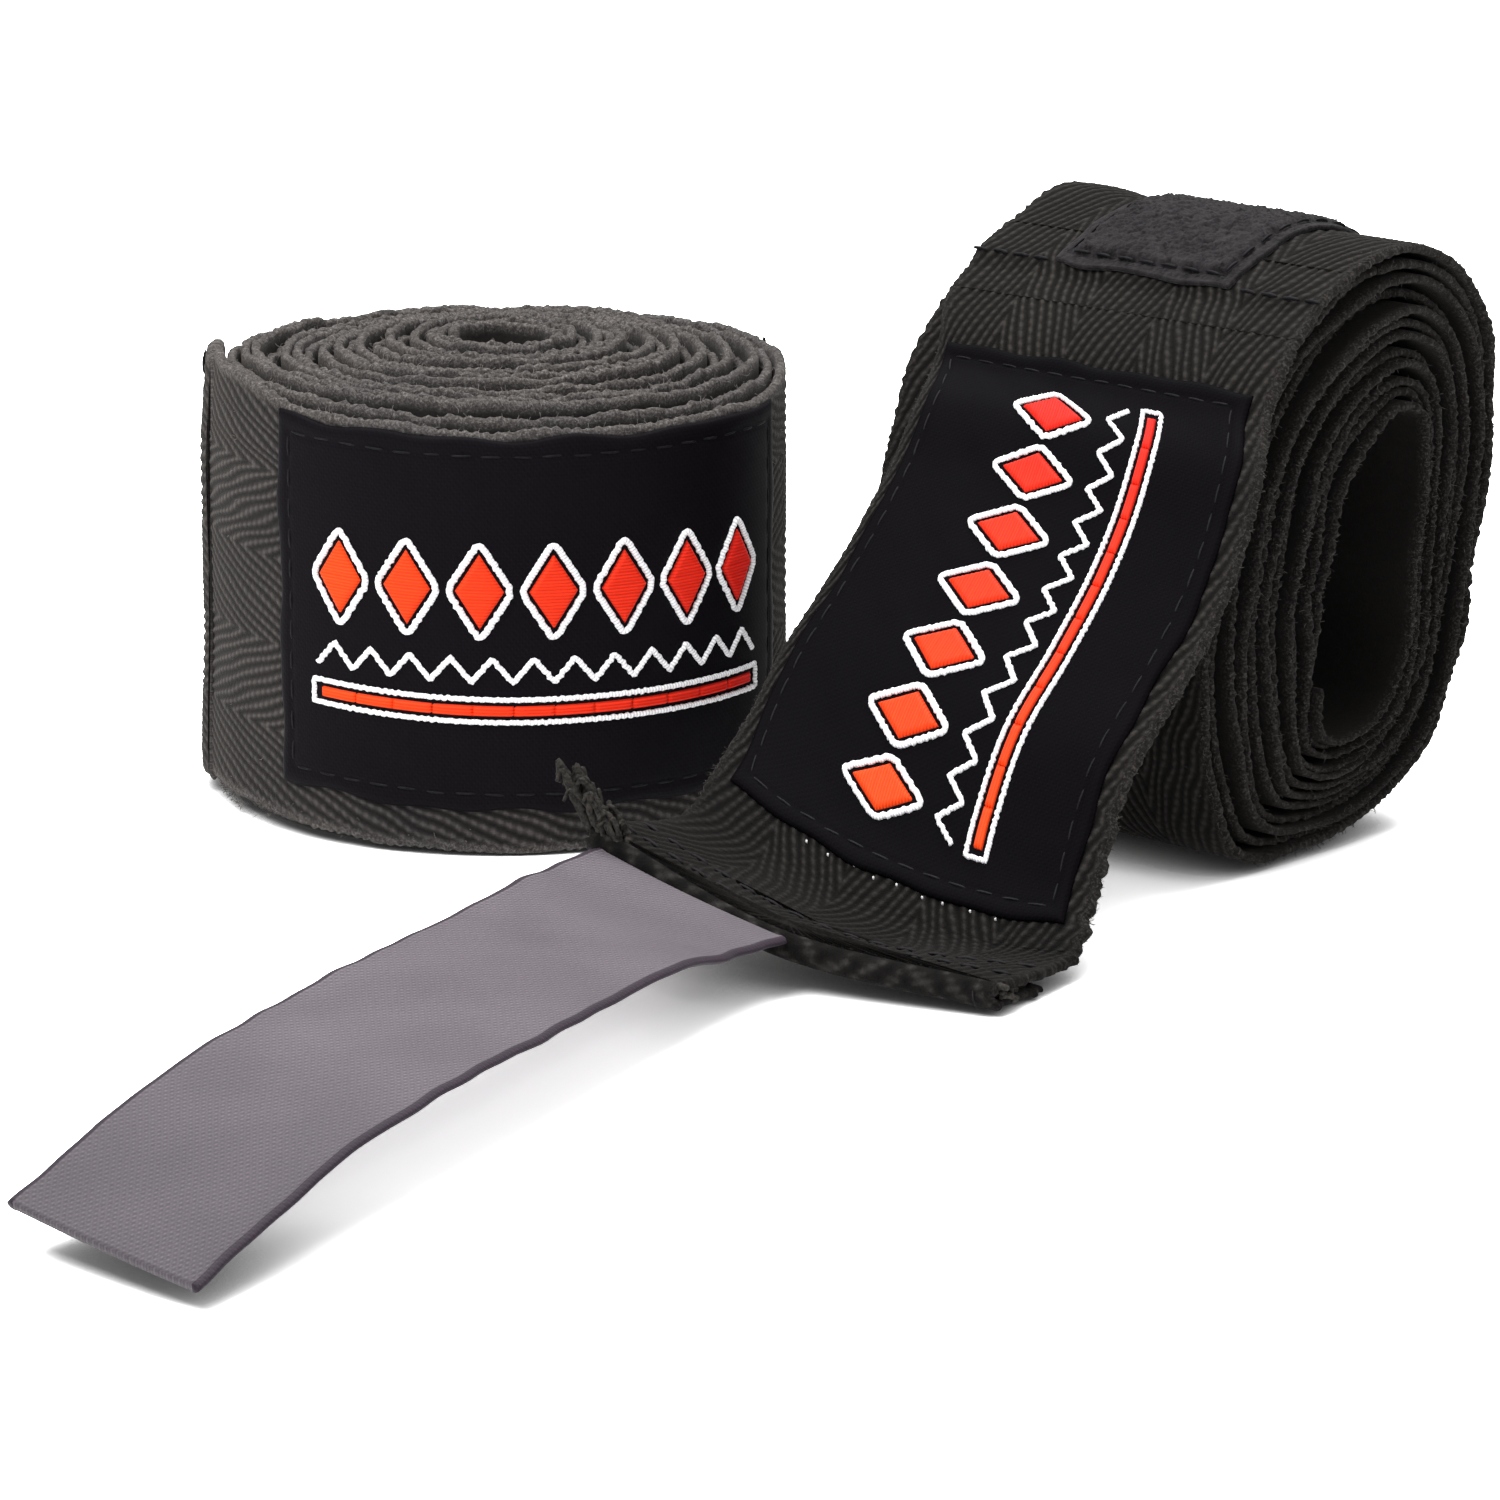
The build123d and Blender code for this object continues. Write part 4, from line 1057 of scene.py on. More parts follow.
def ornament(prefix, mp0, h0, body, node, ku=1.0):
    def mp(u, v, h):
        return mp0(np.asarray(u, float) * ku, v, h)

    fills, whites = [], []
    for i in range(LOZ_N):
        u = (i - (LOZ_N - 1) / 2) * LOZ_PITCH
        w, h = LOZ_W - 1.5, LOZ_H - 2.5
        fills.append(emb_fill([(u - w / 2, 4.0), (u, 4.0 - h / 2), (u + w / 2, 4.0), (u, 4.0 + h / 2)], h0, mp))
        whites.append(emb_strip(rounded_loz(u, 4.0, LOZ_W + 0.2, LOZ_H + 0.3), 0.72, h0, 0.34, mp, True))
    zz = [(-26.0 + 2.17 * k, -5.0 + (1.35 if k % 2 else -1.35)) for k in range(25)]
    whites.append(emb_strip(zz, 0.62, h0, 0.32, mp, False))
    bar = []
    for k in range(12):
        u0, u1 = -25.6 + k * 4.27, -25.6 + (k + 1) * 4.27
        bar.append(emb_fill([(u0, -10.2), (u1, -10.2), (u1, -9.0), (u0, -9.0)], h0, mp, 18, 8, 0.3))
    o = np.array([(-26.6, -10.9), (26.6, -10.9), (26.6, -8.3), (-26.6, -8.3)])
    whites.append(emb_strip(o, 0.6, h0, 0.32, mp, True))
    f = join(prefix + "_motif_fill", fills + bar, M_EMB)
    wv = join(prefix + "_motif_outline", whites, M_WHITE)
    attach(f, body)
    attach(wv, body)
    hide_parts(node)
    return f, wv


HL2 = 32.0
UA0, UA1 = (LAB_A0 - labc_a) * math.pi / 180 * R_OUT, (LAB_A1 - labc_a) * math.pi / 180 * R_OUT
for pre, mp, body, u0, u1, hw, sd in (("closed", map_a, "closed_wrap", UA0, UA1, LABEL_W / 2, 70), ("open", map_b, "open_tail", -HL2, HL2, LAB_HB, 80)):
    # the open roll's label takes the darker copy of the label weave (painted shade)
    lab = sheet(pre + "_label_cloth", u0, u1, -hw, hw, LABEL_T, mp, M_LABEL if pre == "closed" else M_LABEL_B_SHADED, 0.4, sd)
    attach(lab, body)
    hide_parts(pre + "_label")
    st = rods(pre + "_label_stitches", run_stitches(u0 + 2, u1 - 2, -hw + 2, hw - 2, 3.3, 2.5, LABEL_T - 0.08, sd), mp, M_ST, 0.14)
    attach(st, body)
    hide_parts(pre + "_label_stitching")
    ornament(pre, mp, LABEL_T, body, pre + "_label_motif", 1.07 if pre == "closed" else 1.0)
# pale needle-hole thread ends along the open label's lower edge
sp = []
rr = np.random.default_rng(5)
for i in range(9):
    v = -14.0 + i * 3.1 + rr.normal(0, 0.3)
    a0 = -HL2 - 0.5 + rr.normal(0, 0.12)
    sp.append((a0, v, a0 + 0.34, v + 0.12, 0.02))
pale = rods("open_label_thread_ends", sp, map_b, M_STL, 0.14)
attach(pale, "open_tail")


# -------------------------------------------------------------- loop patches
def map_pa(u, v, h):
    dg = PATCH_A0 + np.degrees(u / R_OUT)
    r = rad(dg) + 0.08 + h
    return pol3(r, dg, 0) + np.stack([0 * u, 0 * u, 25 + v + turn_lift((dg - A_END) / 360.0)], -1)


tt_ = np.linspace(0.0, 0.26, 400)
qq = b_uv(tt_)
LL = np.concatenate([[0], np.cumsum(np.linalg.norm(np.diff(qq, axis=0), axis=1))])


def map_pb(u, v, h):
    """u mm back from the seam over the roll, v across (towards +w), h above."""
    tnn = np.interp(u, LL, tt_)
    q = b_uv(tnn)
    q1 = b_uv(tnn + 0.003)
    q0 = b_uv(np.maximum(tnn - 0.003, 0))
    t2 = unit(q1 - q0)
    n2 = np.stack([-t2[..., 1], t2[..., 0]], -1)
    n2 = n2 * np.sign(np.sum(n2 * (q - CB), -1))[..., None]
    back = np.minimum(u, 0.0)
    q = q + n2 * h[..., None] + t2 * back[..., None]
    return to3(q, v + 1.2 * (1 - sstep(tnn, 0, 0.4)))


def loop_patch(name, L, mp, seed, du):
    """Pile patch: dense loops as real relief."""
    nu, nv = int(L / du), int(PATCH_W / du)
    us, vs = np.linspace(0, L, nu), np.linspace(-PATCH_W / 2, PATCH_W / 2, nv)
    U, Vv = np.meshgrid(us, vs, indexing="ij")
    r = np.random.default_rng(seed)
    ed = np.minimum(np.minimum(U, L - U), PATCH_W / 2 - np.abs(Vv))
    lump = wob(U, 2.4, seed) * wob(Vv, 2.1, seed + 1) + 0.8 * wob(U + Vv, 1.6, seed + 2) * wob(U - Vv, 1.4, seed + 3)
    H = 0.55 + 0.75 * sstep(ed, 0.3, 2.6) + 0.16 * lump * sstep(ed, 0.5, 2.0) + r.normal(0, 0.075, U.shape) * sstep(ed, 0.2, 1.2)
    H -= 0.45 * np.exp(-((ed - 1.5) / 0.35) ** 2)
    Vw = Vv + 0.25 * wob(U, 7, seed + 5) * np.sign(Vv) * sstep(np.abs(Vv), 9, 12.5)
    Uw = U + 0.25 * wob(Vv, 8, seed + 6) * (1 - sstep(U, 0, 3))
    top = mp(Uw, Vw, H)
    bot = mp(Uw, Vw, np.full_like(U, 0.0))
    n = nu * nv
    i = (np.arange(nu - 1)[:, None] * nv + np.arange(nv - 1)[None, :]).reshape(-1)
    q1 = np.stack([i, i + nv, i + nv + 1, i + 1], -1)
    q2 = q1[:, ::-1] + n
    bd = np.concatenate([np.arange(nv), nv - 1 + nv * np.arange(1, nu), (nu - 1) * nv + np.arange(nv - 2, -1, -1), nv * np.arange(nu - 2, 0, -1)])
    bn = np.roll(bd, -1)
    q3 = np.stack([bd, bn, bn + n, bd + n], -1)
    uv = np.concatenate([np.stack([U, Vv], -1).reshape(-1, 2)] * 2)
    return outward(make(name, np.concatenate([top.reshape(-1, 3), bot.reshape(-1, 3)]), [q1, q2, q3], uv, M_PILE))


LPA = (PATCH_A1 - PATCH_A0) * math.pi / 180 * R_OUT
LPB = 29.0
for pre, mp, body, L, sd in (("closed", map_pa, "closed_wrap", LPA, 90), ("open", map_pb, "open_wrap", LPB, 95)):
    p = loop_patch(pre + "_patch_pile", L, mp, sd, 0.22)
    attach(p, body)
    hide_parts(pre + "_loop_patch")
    st = rods(pre + "_patch_stitches", run_stitches(1.5, L - 1.5, -PATCH_W / 2 + 1.5, PATCH_W / 2 - 1.5, 2.9, 2.2, 0.98, sd), mp, M_ST, 0.17)
    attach(st, body)
    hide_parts(pre + "_loop_patch_stitching")
    segs = []
    r = np.random.default_rng(sd)
    for i in range(17):
        v = -24.0 + 3.0 * i
        if abs(v + 0.1) > PATCH_W / 2:
            segs.append((0.35 + r.normal(0, .06), v - 1.15, 0.35 + r.normal(0, .06), v + 1.15, 0.08))
    cs = rods(pre + "_seam_stitches", segs, mp, M_ST, 0.2)
    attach(cs, body)
    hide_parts(pre + "_cross_seam")


# ----------------------------------------------------------------- hook tape
def tape_piece(name, S, surf, t, mat, width=TAPE_W, nv=60, edge_mat=None, seed=0, top_h=0.0):
    vs = np.linspace(-width / 2, width / 2, nv)
    Sg, Vg = np.meshgrid(S, vs, indexing="ij")
    ed = width / 2 - np.abs(Vg)
    up = t / 2 * (0.3 + 0.7 * np.sqrt(np.clip(ed / 0.4, 0, 1))) + 0.10 * np.exp(-((ed - 0.8) / 0.4) ** 2)
    dv = 0.12 * wob(Sg, 9, seed) * np.sign(Vg) * (ed < 2)
    top = surf(Sg, Vg + dv, up + top_h)
    bot = surf(Sg, Vg + dv, -up + top_h)
    nu = len(S)
    n = nu * nv
    i = (np.arange(nu - 1)[:, None] * nv + np.arange(nv - 1)[None, :]).reshape(-1)
    q1 = np.stack([i, i + nv, i + nv + 1, i + 1], -1)
    q2 = q1[:, ::-1] + n
    bd = np.concatenate([np.arange(nv), nv - 1 + nv * np.arange(1, nu), (nu - 1) * nv + np.arange(nv - 2, -1, -1), nv * np.arange(nu - 2, 0, -1)])
    bn = np.roll(bd, -1)
    q3 = np.stack([bd, bn, bn + n, bd + n], -1)
    uv = np.concatenate([np.stack([Sg, Vg], -1).reshape(-1, 2)] * 2)
    ob = make(name, np.concatenate([top.reshape(-1, 3), bot.reshape(-1, 3)]), [q1, q2, q3], uv, mat)
    outward(ob)
    if edge_mat:
        ob.data.materials.append(edge_mat)
        vv = np.zeros(len(ob.data.polygons) , int)
        for p in ob.data.polygons:
            c = abs(sum(ob.data.uv_layers[0].data[l].uv[1] for l in p.loop_indices) / p.loop_total)
            if c > width / 2 - 0.75:
                p.material_index = 1
    return ob


def surf_tb(s, v, h):
    m, t, n, w = tape.at(s)
    sag = -0.35 * (1 - (v / 12.5) ** 2) + 0.25 * wob(s, 22, 101) * (v / 12.5)
    return m + w * v[..., None] + n * (h + sag * 0.6)[..., None]


S = np.concatenate([np.arange(-2.2, 112.0, 0.6)])
bt = tape_piece("open_tape", S, surf_tb, 0.7, M_TAPE, edge_mat=M_TEDGE, seed=111)
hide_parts("open_tape_root", "open_tape_tip")
ma, ta, _, _ = tape.at(np.array(T_FLEX - 5.0))
mb, tb, _, _ = tape.at(np.array(T_FLEX + 5.0))
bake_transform(bt)


def hook_field(name, S, surf, width, body_blend=None, step=1.05):
    """Rows of small mushroom-like hooks under the tape."""
    vs = np.arange(-width / 2 + 0.6, width / 2 - 0.4, step)
    Vs, Qs, Ts, off = [], [], [], 0
    an = np.linspace(0, 2 * math.pi, 5, endpoint=False)
    prof = [(0.16, 0.0), (0.13, -0.32), (0.26, -0.40), (0.20, -0.52)]
    for ia, s in enumerate(S):
        for v in vs + (0.5 * step if ia % 2 else 0):
            if abs(v) > width / 2 - 0.3:
                continue
            rr_ = np.array([p[0] for p in prof])[:, None]
            hh_ = np.array([p[1] for p in prof])[:, None]
            P = surf(s + rr_ * np.cos(an), v + rr_ * np.sin(an), hh_ + 0 * an).reshape(-1, 3)
            Vs.append(P)
            Qs.append(tube_faces(4, 5) + off)
            Ts.append(np.array([[0, 2, 1], [0, 3, 2], [0, 4, 3], [15, 16, 17], [15, 17, 18], [15, 18, 19]]) + off)
            off += 20
    ob = make(name, np.concatenate(Vs), [np.concatenate(Qs), np.concatenate(Ts)], np.zeros((off, 2)), M_HOOK)
    return outward(ob)


def under_tb(s, v, h):
    return surf_tb(np.asarray(s, float), np.asarray(v, float), np.asarray(h, float) - 0.36)


bh = hook_field("open_hooks", np.arange(4.0, 111.0, 1.15), under_tb, TAPE_W - 3.0)
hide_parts("open_hooks_root", "open_hooks_tip")
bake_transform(bh)


# closed tape round the back
def tape_r(d):
    e = d + 360.0
    st = np.interp(d, [-244.0, -179, -169, -134, -114, -95.3], [PATCH_T, PATCH_T, 0.0, 0.0, 0.5, 0.9])
    return rad(e) + 0.56 + st


dgrid = np.linspace(-244, -93.0, 700)
rgrid = np.convolve(np.pad(tape_r(dgrid), 12, mode="edge"), np.ones(25) / 25, "valid")


def surf_ta(s, v, h):
    """s mm from the hem round the back; outward is +h."""
    dg = -94.6 - np.degrees(s / 34.6)
    r = np.interp(dg, dgrid, rgrid) + 0.62 + h
    return pol3(r, dg, 0) + np.stack([0 * v, 0 * v, 25 + v], -1)


LTA = math.radians(244 - 94.6) * 34.6
at_ = tape_piece("closed_tape", np.arange(0.45, LTA, 0.6), surf_ta, 0.6, M_TAPE, edge_mat=M_TEDGE, seed=121)
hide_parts("closed_tape_root", "closed_tape_tip")
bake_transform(at_)
ah = hook_field("closed_hooks", np.arange(8.0, LTA - 1.5, 1.15), lambda s, v, h: surf_ta(s, v, h * 0.8 - 0.32), TAPE_W - 3.0)
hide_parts("closed_hooks_root", "closed_hooks_tip")
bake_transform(ah)


# ------------------------------------------------------------- hem stitching
def map_hem_a(u, v, h):
    dg = A_END + np.degrees(u / R_OUT)
    r = rad(dg) + 0.95 + h
    return pol3(r, dg, 0) + np.stack([0 * u, 0 * u, 25 + v + first_lift(dg)], -1)


segs = []
r = np.random.default_rng(131)
for i in range(15):
    v = -23.0 + 3.28 * i
    for u in (2.0, 4.6):
        segs.append((u + r.normal(0, .07), v - 1.2, u + r.normal(0, .07), v + 1.2, 0.08))
hs = rods("closed_hem_stitches", segs, map_hem_a, M_ST, 0.19)
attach(hs, "closed_wrap")
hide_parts("closed_hem_stitching")


def map_hem_b(u, v, h):
    """u mm back from the hem line over the top layer."""
    f = np.clip(v / BAND_W + 0.5, 0, 1)
    Lf = np.linalg.norm(hem_front(f) - hem_start(v), axis=-1)
    s = TAIL_END + 26.0 * (1 - np.clip(u / Lf, 0, 0.99))
    e = 0.15
    P = tail_surface(s, v)
    Pu = tail_surface(s + e, v) - tail_surface(s - e, v)
    Pv = tail_surface(s, v + e) - tail_surface(s, v - e)
    n = unit(np.cross(Pv, Pu))
    n = n * np.where(n[..., 2:3] < 0, -1, 1)
    return P + n * (HB + h)[..., None]


segs = []
for i in range(15):
    v = -23.0 + 3.28 * i
    for u in (3.0, 7.0):
        segs.append((u + r.normal(0, .07), v - 1.2, u + r.normal(0, .07), v + 1.2, 0.08))
hs = rods("open_hem_stitches", segs, map_hem_b, M_ST, 0.19)
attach(hs, "open_hem")
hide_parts("open_hem_stitching")


# --------------------------------------------------------------- thumb loops
def thumb(name, node, bnode, base, xdir, ydir, h, gap, w, body, seed):
    """Doubled tape standing in the core: a long ring of cloth."""
    t = 0.9
    k = 90
    R0 = gap / 2 + t / 2
    straight = h - R0
    s = np.linspace(0, 2 * straight + math.pi * R0, k)
    x = np.where(s < straight, R0, np.where(s < straight + math.pi * R0, R0 * np.cos((s - straight) / R0), -R0))
    z = np.where(s < straight, s, np.where(s < straight + math.pi * R0, straight + R0 * np.sin((s - straight) / R0), straight - (s - straight - math.pi * R0)))
    x = x + 0.25 * wob(s, 12, seed)
    c = base + np.outer(x, xdir) + np.outer(z, ZU)
    tg = unit(np.gradient(c, axis=0))
    n = unit(np.cross(np.tile(ydir, (k, 1)), tg))
    v, hh, ed = ring_profile(10, t)
    vv = v * (w / BAND_W)
    P = c[:, None] + np.tile(ydir, (k, 1))[:, None] * vv[None, :, None] + n[:, None] * (hh * t / 2 * 0.8)[None, :, None]
    uv = np.stack([np.repeat(s[:, None], len(v), 1), np.repeat(vv[None], k, 0)], -1)
    ob = outward(ring_mesh(name, P, uv, M_THUMB, {"edge": np.repeat(ed[None], k, 0), "rib": np.zeros((k, len(v)))}))
    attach(ob, body)
    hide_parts(node)
    segs = []
    for i in range(9):
        zz = 1.0 + i * 0.32
        segs.append((-w * 0.33, zz, w * 0.33, zz, 0.0))

    def mp(u, v_, h_):
        return base + u[..., None] * ydir + v_[..., None] * ZU + (h_ + R0 + 0.5)[..., None] * xdir
    b = rods(name + "_bartack", segs, mp, M_ST, 0.16)
    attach(b, body)
    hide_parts(bnode)


ca, sa = math.cos(0.5), math.sin(0.5)
thumb("closed_core_ring", "closed_thumb_loop", "closed_thumb_loop_bartack", np.array([0, 0, 6.0]), np.array([ca, sa, 0]), np.array([-sa, ca, 0]), 42.0, 2.4, 5.5, "closed_core_loop", 141)
lc = OB + pB * 19.5
thumb("open_core_ring", "open_thumb_loop", "open_thumb_loop_bartack", lc + ZU * 17.0, pB, wB, 24.0, 4.2, 13.0, "open_core_loop", 151)


# --------------------------------------------------------------- loose yarns
def yarns(name, rows, mat, body):
    """Several loose yarns, rows of (points, radius), as one piece."""
    Vs, Qs, Ts, off, k, n = [], [], [], 0, 24, 6
    j = np.arange(n)
    for pts, r in rows:
        pts = np.array(pts, float)
        c = hermite(np.linspace(0, 1, k), np.linspace(0, 1, len(pts)), pts)
        tg = unit(np.gradient(c, axis=0))
        a = unit(np.cross(tg, np.array([0.3, 0.2, 0.93])))
        b = np.cross(tg, a)
        an = 2 * math.pi * j / n
        rad_ = r * np.sqrt(np.linspace(1, 0.35, k)) * (1 + 0.12 * wob(np.arange(k), 3, off + 5))
        P = c[:, None] + rad_[:, None, None] * (np.cos(an)[None, :, None] * a[:, None] + np.sin(an)[None, :, None] * b[:, None])
        P = rest_on_floor(P)
        Vs += [P.reshape(-1, 3), c[:1], c[-1:]]
        Qs.append(tube_faces(k, n) + off)
        Ts.append(np.stack([np.full(n, off + k * n), off + (j + 1) % n, off + j], -1))
        Ts.append(np.stack([np.full(n, off + k * n + 1), off + (k - 1) * n + j, off + (k - 1) * n + (j + 1) % n], -1))
        off += k * n + 2
    ob = outward(make(name, np.concatenate(Vs), [np.concatenate(Qs), np.concatenate(Ts)], np.zeros((off, 2)), mat))
    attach(ob, body)
    return ob


def yarn(name, pts, r, mat, body):
    pts = np.array(pts, float)
    s = np.linspace(0, 1, len(pts))
    k = 28
    c = hermite(np.linspace(0, 1, k), s, pts)
    tg = unit(np.gradient(c, axis=0))
    ref = np.array([0.3, 0.2, 0.93])
    a = unit(np.cross(tg, ref))
    b = np.cross(tg, a)
    an = np.linspace(0, 2 * math.pi, 6, endpoint=False)
    rad_ = r * np.sqrt(np.linspace(1, 0.35, k))
    P = c[:, None] + rad_[:, None, None] * (np.cos(an)[None, :, None] * a[:, None] + np.sin(an)[None, :, None] * b[:, None])
    ob = outward(ring_mesh(name, P, np.zeros((k, 6, 2)), mat, {"edge": np.ones((k, 6)), "rib": np.zeros((k, 6))}))
    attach(ob, body)
    return ob


yarn("closed_loose_yarn", [(-33.2, 1.2, 13.0), (-34.6, 0.4, 12.2), (-35.2, -0.4, 10.9), (-34.8, -1.0, 9.6)], 0.14, M_ST, "closed_wrap")
r = np.random.default_rng(161)
ear = []
for i in range(36):
    f = float(np.clip(0.0024 * i + r.normal(0, 0.004), 0.0, 0.09))
    e = hem_front(np.array(f))
    k = 1.0 - i / 36.0
    up = (2.4 + 4.6 * k) * r.uniform(0.85, 1.08)
    p = e + np.array([r.uniform(-1.3, 0.9), r.uniform(-0.3, 1.6), 0.0])
    lean = np.array([r.uniform(-0.52, -0.34), 0.10, 1.0])
    mid = p + lean * up * 0.55 + np.array([r.uniform(-0.5, 0.5), r.uniform(-0.4, 0.4), 0.0])
    tip = p + lean * up + np.array([r.uniform(-0.5, 0.5), r.uniform(-0.4, 0.4), 0.0])
    turn_ = tip + np.array([r.uniform(-1.0, 1.0), r.uniform(-0.3, 0.5), -up * r.uniform(0.12, 0.4)])
    ear.append(([p, mid, tip, turn_], r.uniform(0.30, 0.52)))
yarns("open_hem_corner_yarns", ear, M_BFRAY, "open_hem")
hw_ = unit(HR - HM)
fray = []
for i in range(14):
    p = HR + np.array([0.0, 0.0, -0.2]) - hw_ * r.uniform(0.2, 1.6) + np.array([r.uniform(-0.2, 0.6), r.uniform(0.0, 3.0), r.uniform(-1.2, 0.3)])
    q1 = p + hw_ * r.uniform(0.9, 1.7) + np.array([r.uniform(-0.4, 0.4), r.uniform(-0.4, 0.4), r.uniform(-0.2, 0.4)])
    q2 = q1 + np.array([r.uniform(-0.5, 0.3), r.uniform(-0.2, 0.7), r.uniform(-0.5, 0.2)])
    fray.append(([p, 0.5 * (p + q1) + np.array([0.0, 0.0, 0.15]), q1, q2], r.uniform(0.30, 0.48)))
yarns("open_hem_end_yarns", fray, M_BFRAY, "open_hem")
yarn("open_hem_tail_yarn", [tuple(HR + np.array([-3.0, 0.2, 0.0])), tuple(HR + np.array([-3.0, -0.9, -0.8])), tuple(HR + np.array([-2.6, -1.5, -1.6]))], 0.13, M_ST, "open_hem")


# ---------------------------------------------------------------------- fuzz
def fibres(name, root, out, side, length, mat, body, seed, r=0.05):
    """Short curled cotton fibres, each a closed thin tube rooted in the cloth."""
    g = np.random.default_rng(seed)
    m, k, n = len(root), 6, 4
    d = unit(out + g.normal(0, 0.55, (m, 3)))
    a = unit(np.cross(d, side + g.normal(0, 0.3, (m, 3))))
    b = np.cross(d, a)
    L = length * g.uniform(0.45, 1.25, m)
    curl = g.uniform(-0.5, 0.5, (m, 2)) * L[:, None]
    t = np.linspace(0, 1, k)
    c = (root - d * 0.12)[:, None] + d[:, None] * (L[:, None] * t)[..., None]
    c = c + a[:, None] * (curl[:, :1] * t ** 2)[..., None] + b[:, None] * (curl[:, 1:] * np.sin(t * 2.2) ** 2)[..., None]
    rr_ = r * np.sqrt(np.linspace(1.0, 0.3, k))
    an = np.linspace(0, 2 * math.pi, n, endpoint=False)
    P = c[:, :, None] + rr_[None, :, None, None] * (np.cos(an)[None, None, :, None] * a[:, None, None] + np.sin(an)[None, None, :, None] * b[:, None, None])
    P = rest_on_floor(P)
    base = (np.arange(m) * k * n)[:, None]
    q = (tube_faces(k, n)[None] + base[..., None]).reshape(-1, 4)
    c0 = base + np.array([[3, 2, 1, 0]])
    c1 = base + (k - 1) * n + np.array([[0, 1, 2, 3]])
    ob = outward(make(name, P.reshape(-1, 3), [np.concatenate([q, c0, c1])], np.zeros((m * k * n, 2)), mat))
    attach(ob, body)
    return ob


g = np.random.default_rng(171)
# upper edges of the closed roll's turns
nf = 2400
x = np.sqrt(g.uniform(0, 1, nf))
dg = A_END + 360.0 * (TURNS - 0.4) * (1 - x) + g.uniform(0, 40, nf)
tr = (dg - A_END) / 360.0
zt = 50 + turn_lift(tr) + np.where(tr < 1.03, first_lift(dg) - 1.7 * sstep(dg, -70, -40) * (1 - sstep(dg, 68, 105)), np.interp(arc_len(dg), au, up_a)) - 0.35
rt_ = rad(dg) - HB + g.uniform(-0.4, 0.4, nf)
fibres("closed_edge_fuzz", pol3(rt_, dg, zt), np.tile([0.0, 0.0, 1.0], (nf, 1)) + 0.5 * a_frames(dg, rt_) * g.choice([-1, 1], nf)[:, None],
       a_frames(dg, rt_), 0.85, M_FZA, "closed_wrap", 172)
# faces and lower edge of its outer turn
nf = 900
dg = np.where(g.uniform(0, 1, nf) < 0.7, g.choice([-1, 1], nf) * g.uniform(62, 100, nf), g.uniform(-180, 180, nf))
dg = np.where(dg < A_END + 8, dg + 360, dg)
zz_ = np.where(g.uniform(0, 1, nf) < 0.5, g.uniform(0.3, 3, nf), g.uniform(0.3, 49.5, nf))
fibres("closed_face_fuzz", pol3(rad(dg) - 0.05, dg, zz_ + 0.0), a_frames(dg, dg) + np.tile([0.0, 0.0, -0.2], (nf, 1)), np.tile([0.0, 0.0, 1.0], (nf, 1)), 0.55, M_FZA, "closed_wrap", 173, 0.04)
# right edges of the open roll's turns
nf = 2400
ti = g.integers(0, len(IN_C), nf)
rb = IN_C[ti] + wB * 24.6 + IN_N[ti] * g.uniform(-0.35, 0.35, nf)[:, None]
fibres("open_edge_fuzz", rb, np.tile(wB, (nf, 1)) + 0.5 * IN_N[ti] * g.choice([-1, 1], nf)[:, None], IN_N[ti], 0.8, M_FZB, "open_wrap", 174)
# its outer turn, both edges and face
tf = g.uniform(0.04, 1.0, 1000)
cf, nf2, _ = b_frames(np.sort(tf), 0.0)
nn3 = pB * nf2[:, 0:1] + ZU * nf2[:, 1:2]
vf = np.where(g.uniform(0, 1, 1000) < 0.6, 24.7 * g.choice([-1, 1], 1000), g.uniform(-24, 24, 1000))
fibres("open_face_fuzz", to3(cf, vf + 1.2 * (1 - sstep(np.sort(tf), 0, 0.4))), nn3 + wB * (0.9 * np.sign(vf) * (np.abs(vf) > 24))[:, None], np.tile(wB, (1000, 1)), 0.6, M_FZB, "open_wrap", 175, 0.04)
# both edges of the tail
nf = 700
sf = g.uniform(S1 + 1, TAIL_END - 1.0, nf)
vf = 24.7 * g.choice([-1, 1], nf)
_, _, nt3, wt3 = tail.at(sf)
fibres("open_tail_fuzz", tail_surface(sf, vf), wt3 * np.sign(vf)[:, None] + 0.3 * nt3, nt3, 0.7, M_FZB, "open_tail", 176)


# ------------------------------------------------------------ floor and light
bpy.ops.mesh.primitive_plane_add(size=6.0, location=(0, 0, -0.0002))
floor = bpy.context.object
floor.name = "floor"
mf, ntf, bf = nodes_of("floor_pale")
bf.inputs["Base Color"].default_value = (0.86, 0.86, 0.86, 1)
bf.inputs["Emission Color"].default_value = (1, 1, 1, 1)
bf.inputs["Emission Strength"].default_value = 0.30
bf.inputs["Roughness"].default_value = 0.6
gf = G(ntf)
mott = gf.noise(3.0, None, 2.0)
lp_ = gf.n("ShaderNodeLightPath")
df = gf.n("ShaderNodeBsdfDiffuse")
# painted contact shadow: for camera rays the floor's diffuse colour and glow are darkened by ambient occlusion near the
# objects
ao = gf.n("ShaderNodeAmbientOcclusion", samples=8)
ao.inputs["Distance"].default_value = 0.010
painted_contact_shadow = gf.ramp(ao.outputs["AO"], [(0.0, (0.02, 0.02, 0.02)), (0.40, (0.30, 0.30, 0.30)), (0.75, (0.88, 0.88, 0.88)), (1.0, (1.0, 1.0, 1.0))])
gf.link(gf.mix(1.0, painted_contact_shadow, gf.ramp(mott, [(0.0, (0.99, 0.99, 0.99)), (1.0, (1.0, 1.0, 1.0))]), "MULTIPLY"), df.inputs["Color"])
em = gf.n("ShaderNodeEmission")
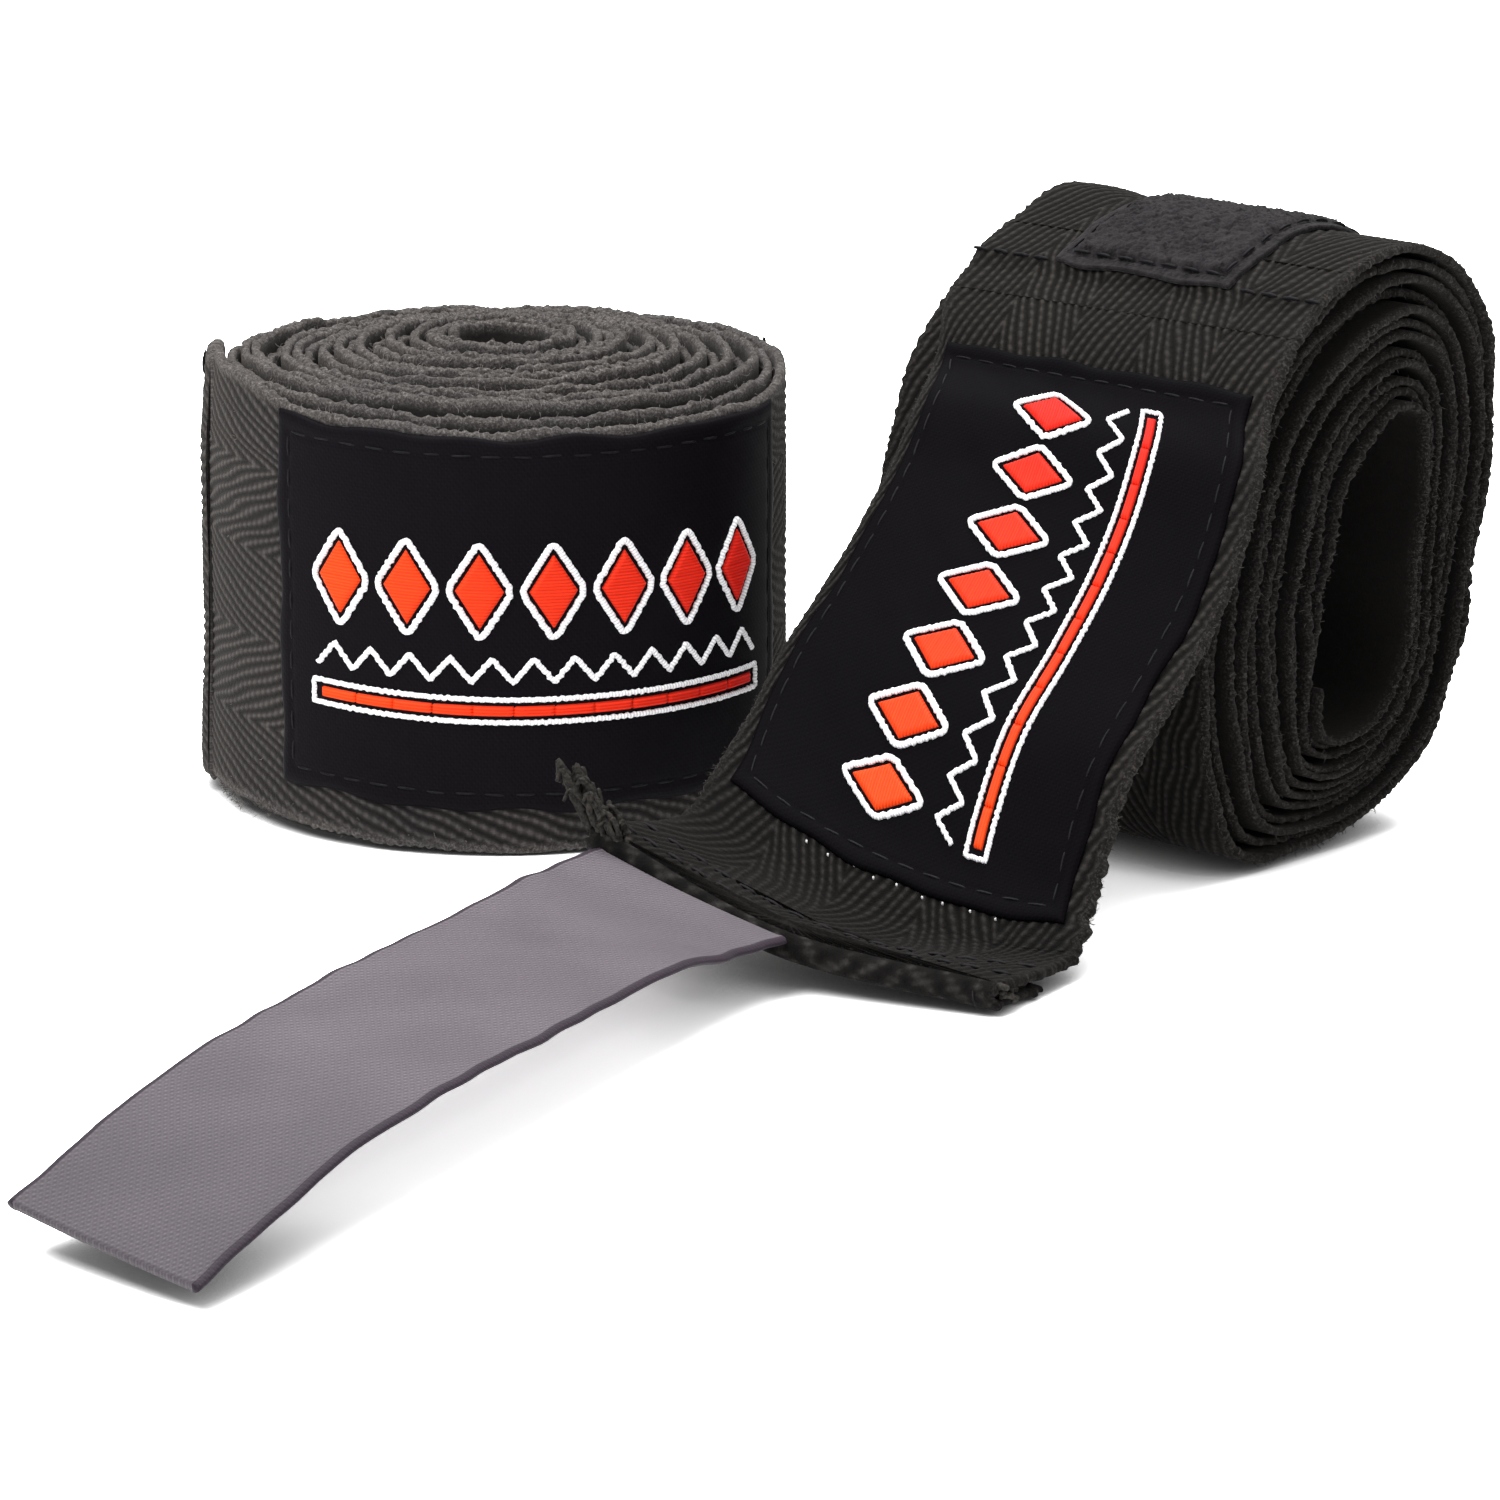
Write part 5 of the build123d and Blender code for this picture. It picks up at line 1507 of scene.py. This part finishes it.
em.inputs["Strength"].default_value = 0.24
gf.link(painted_contact_shadow, em.inputs["Color"])
dfx = gf.n("ShaderNodeAddShader")
gf.link(df.outputs[0], dfx.inputs[0])
gf.link(df.outputs[0], dfx.inputs[1])
ads = gf.n("ShaderNodeAddShader")
gf.link(dfx.outputs[0], ads.inputs[0])
gf.link(em.outputs[0], ads.inputs[1])
mx = gf.n("ShaderNodeMixShader")
gf.link(lp_.outputs["Is Camera Ray"], mx.inputs[0])
gf.link(bf.outputs[0], mx.inputs[1])
gf.link(ads.outputs[0], mx.inputs[2])
gf.link(mx.outputs[0], ntf.nodes["Material Output"].inputs["Surface"])
floor.data.materials.append(mf)

world = bpy.data.worlds.new("studio") if bpy.context.scene.world is None else bpy.context.scene.world
bpy.context.scene.world = world
world.use_nodes = True
bg = world.node_tree.nodes.get("Background")
bg.inputs[0].default_value = (1.0, 1.0, 1.0, 1)
bg.inputs[1].default_value = 0.52


def area(name, loc, target, size, power):
    l = bpy.data.lights.new(name, "AREA")
    l.shape = "RECTANGLE"
    l.size, l.size_y = size
    l.energy = power
    o = bpy.data.objects.new(name, l)
    bpy.context.scene.collection.objects.link(o)
    o.location = loc
    from mathutils import Vector
    o.rotation_euler = (Vector(target) - Vector(loc)).to_track_quat("-Z", "Y").to_euler()
    return o


area("key", (-0.30, -0.30, 0.70), (0.03, -0.04, 0.02), (0.45, 0.45), 9.5)
area("top", (0.15, 0.35, 0.9), (0.03, -0.03, 0.02), (0.9, 0.6), 12.0)
area("fill", (0.7, -0.6, 0.45), (0.03, -0.03, 0.02), (0.6, 0.6), 3.0)

cam_d = bpy.data.cameras.new("cam")
cam_d.sensor_width = 36.0
cam_d.lens = 153.6
cam_d.clip_start = 0.01
cam = bpy.data.objects.new("cam", cam_d)
bpy.context.scene.collection.objects.link(cam)
cam.location = (0.0284, -0.723, 0.1945)
cam.rotation_euler = (math.radians(90 - 14.8), 0, 0)
bpy.context.scene.camera = cam
bpy.context.scene.view_settings.view_transform = "Standard"
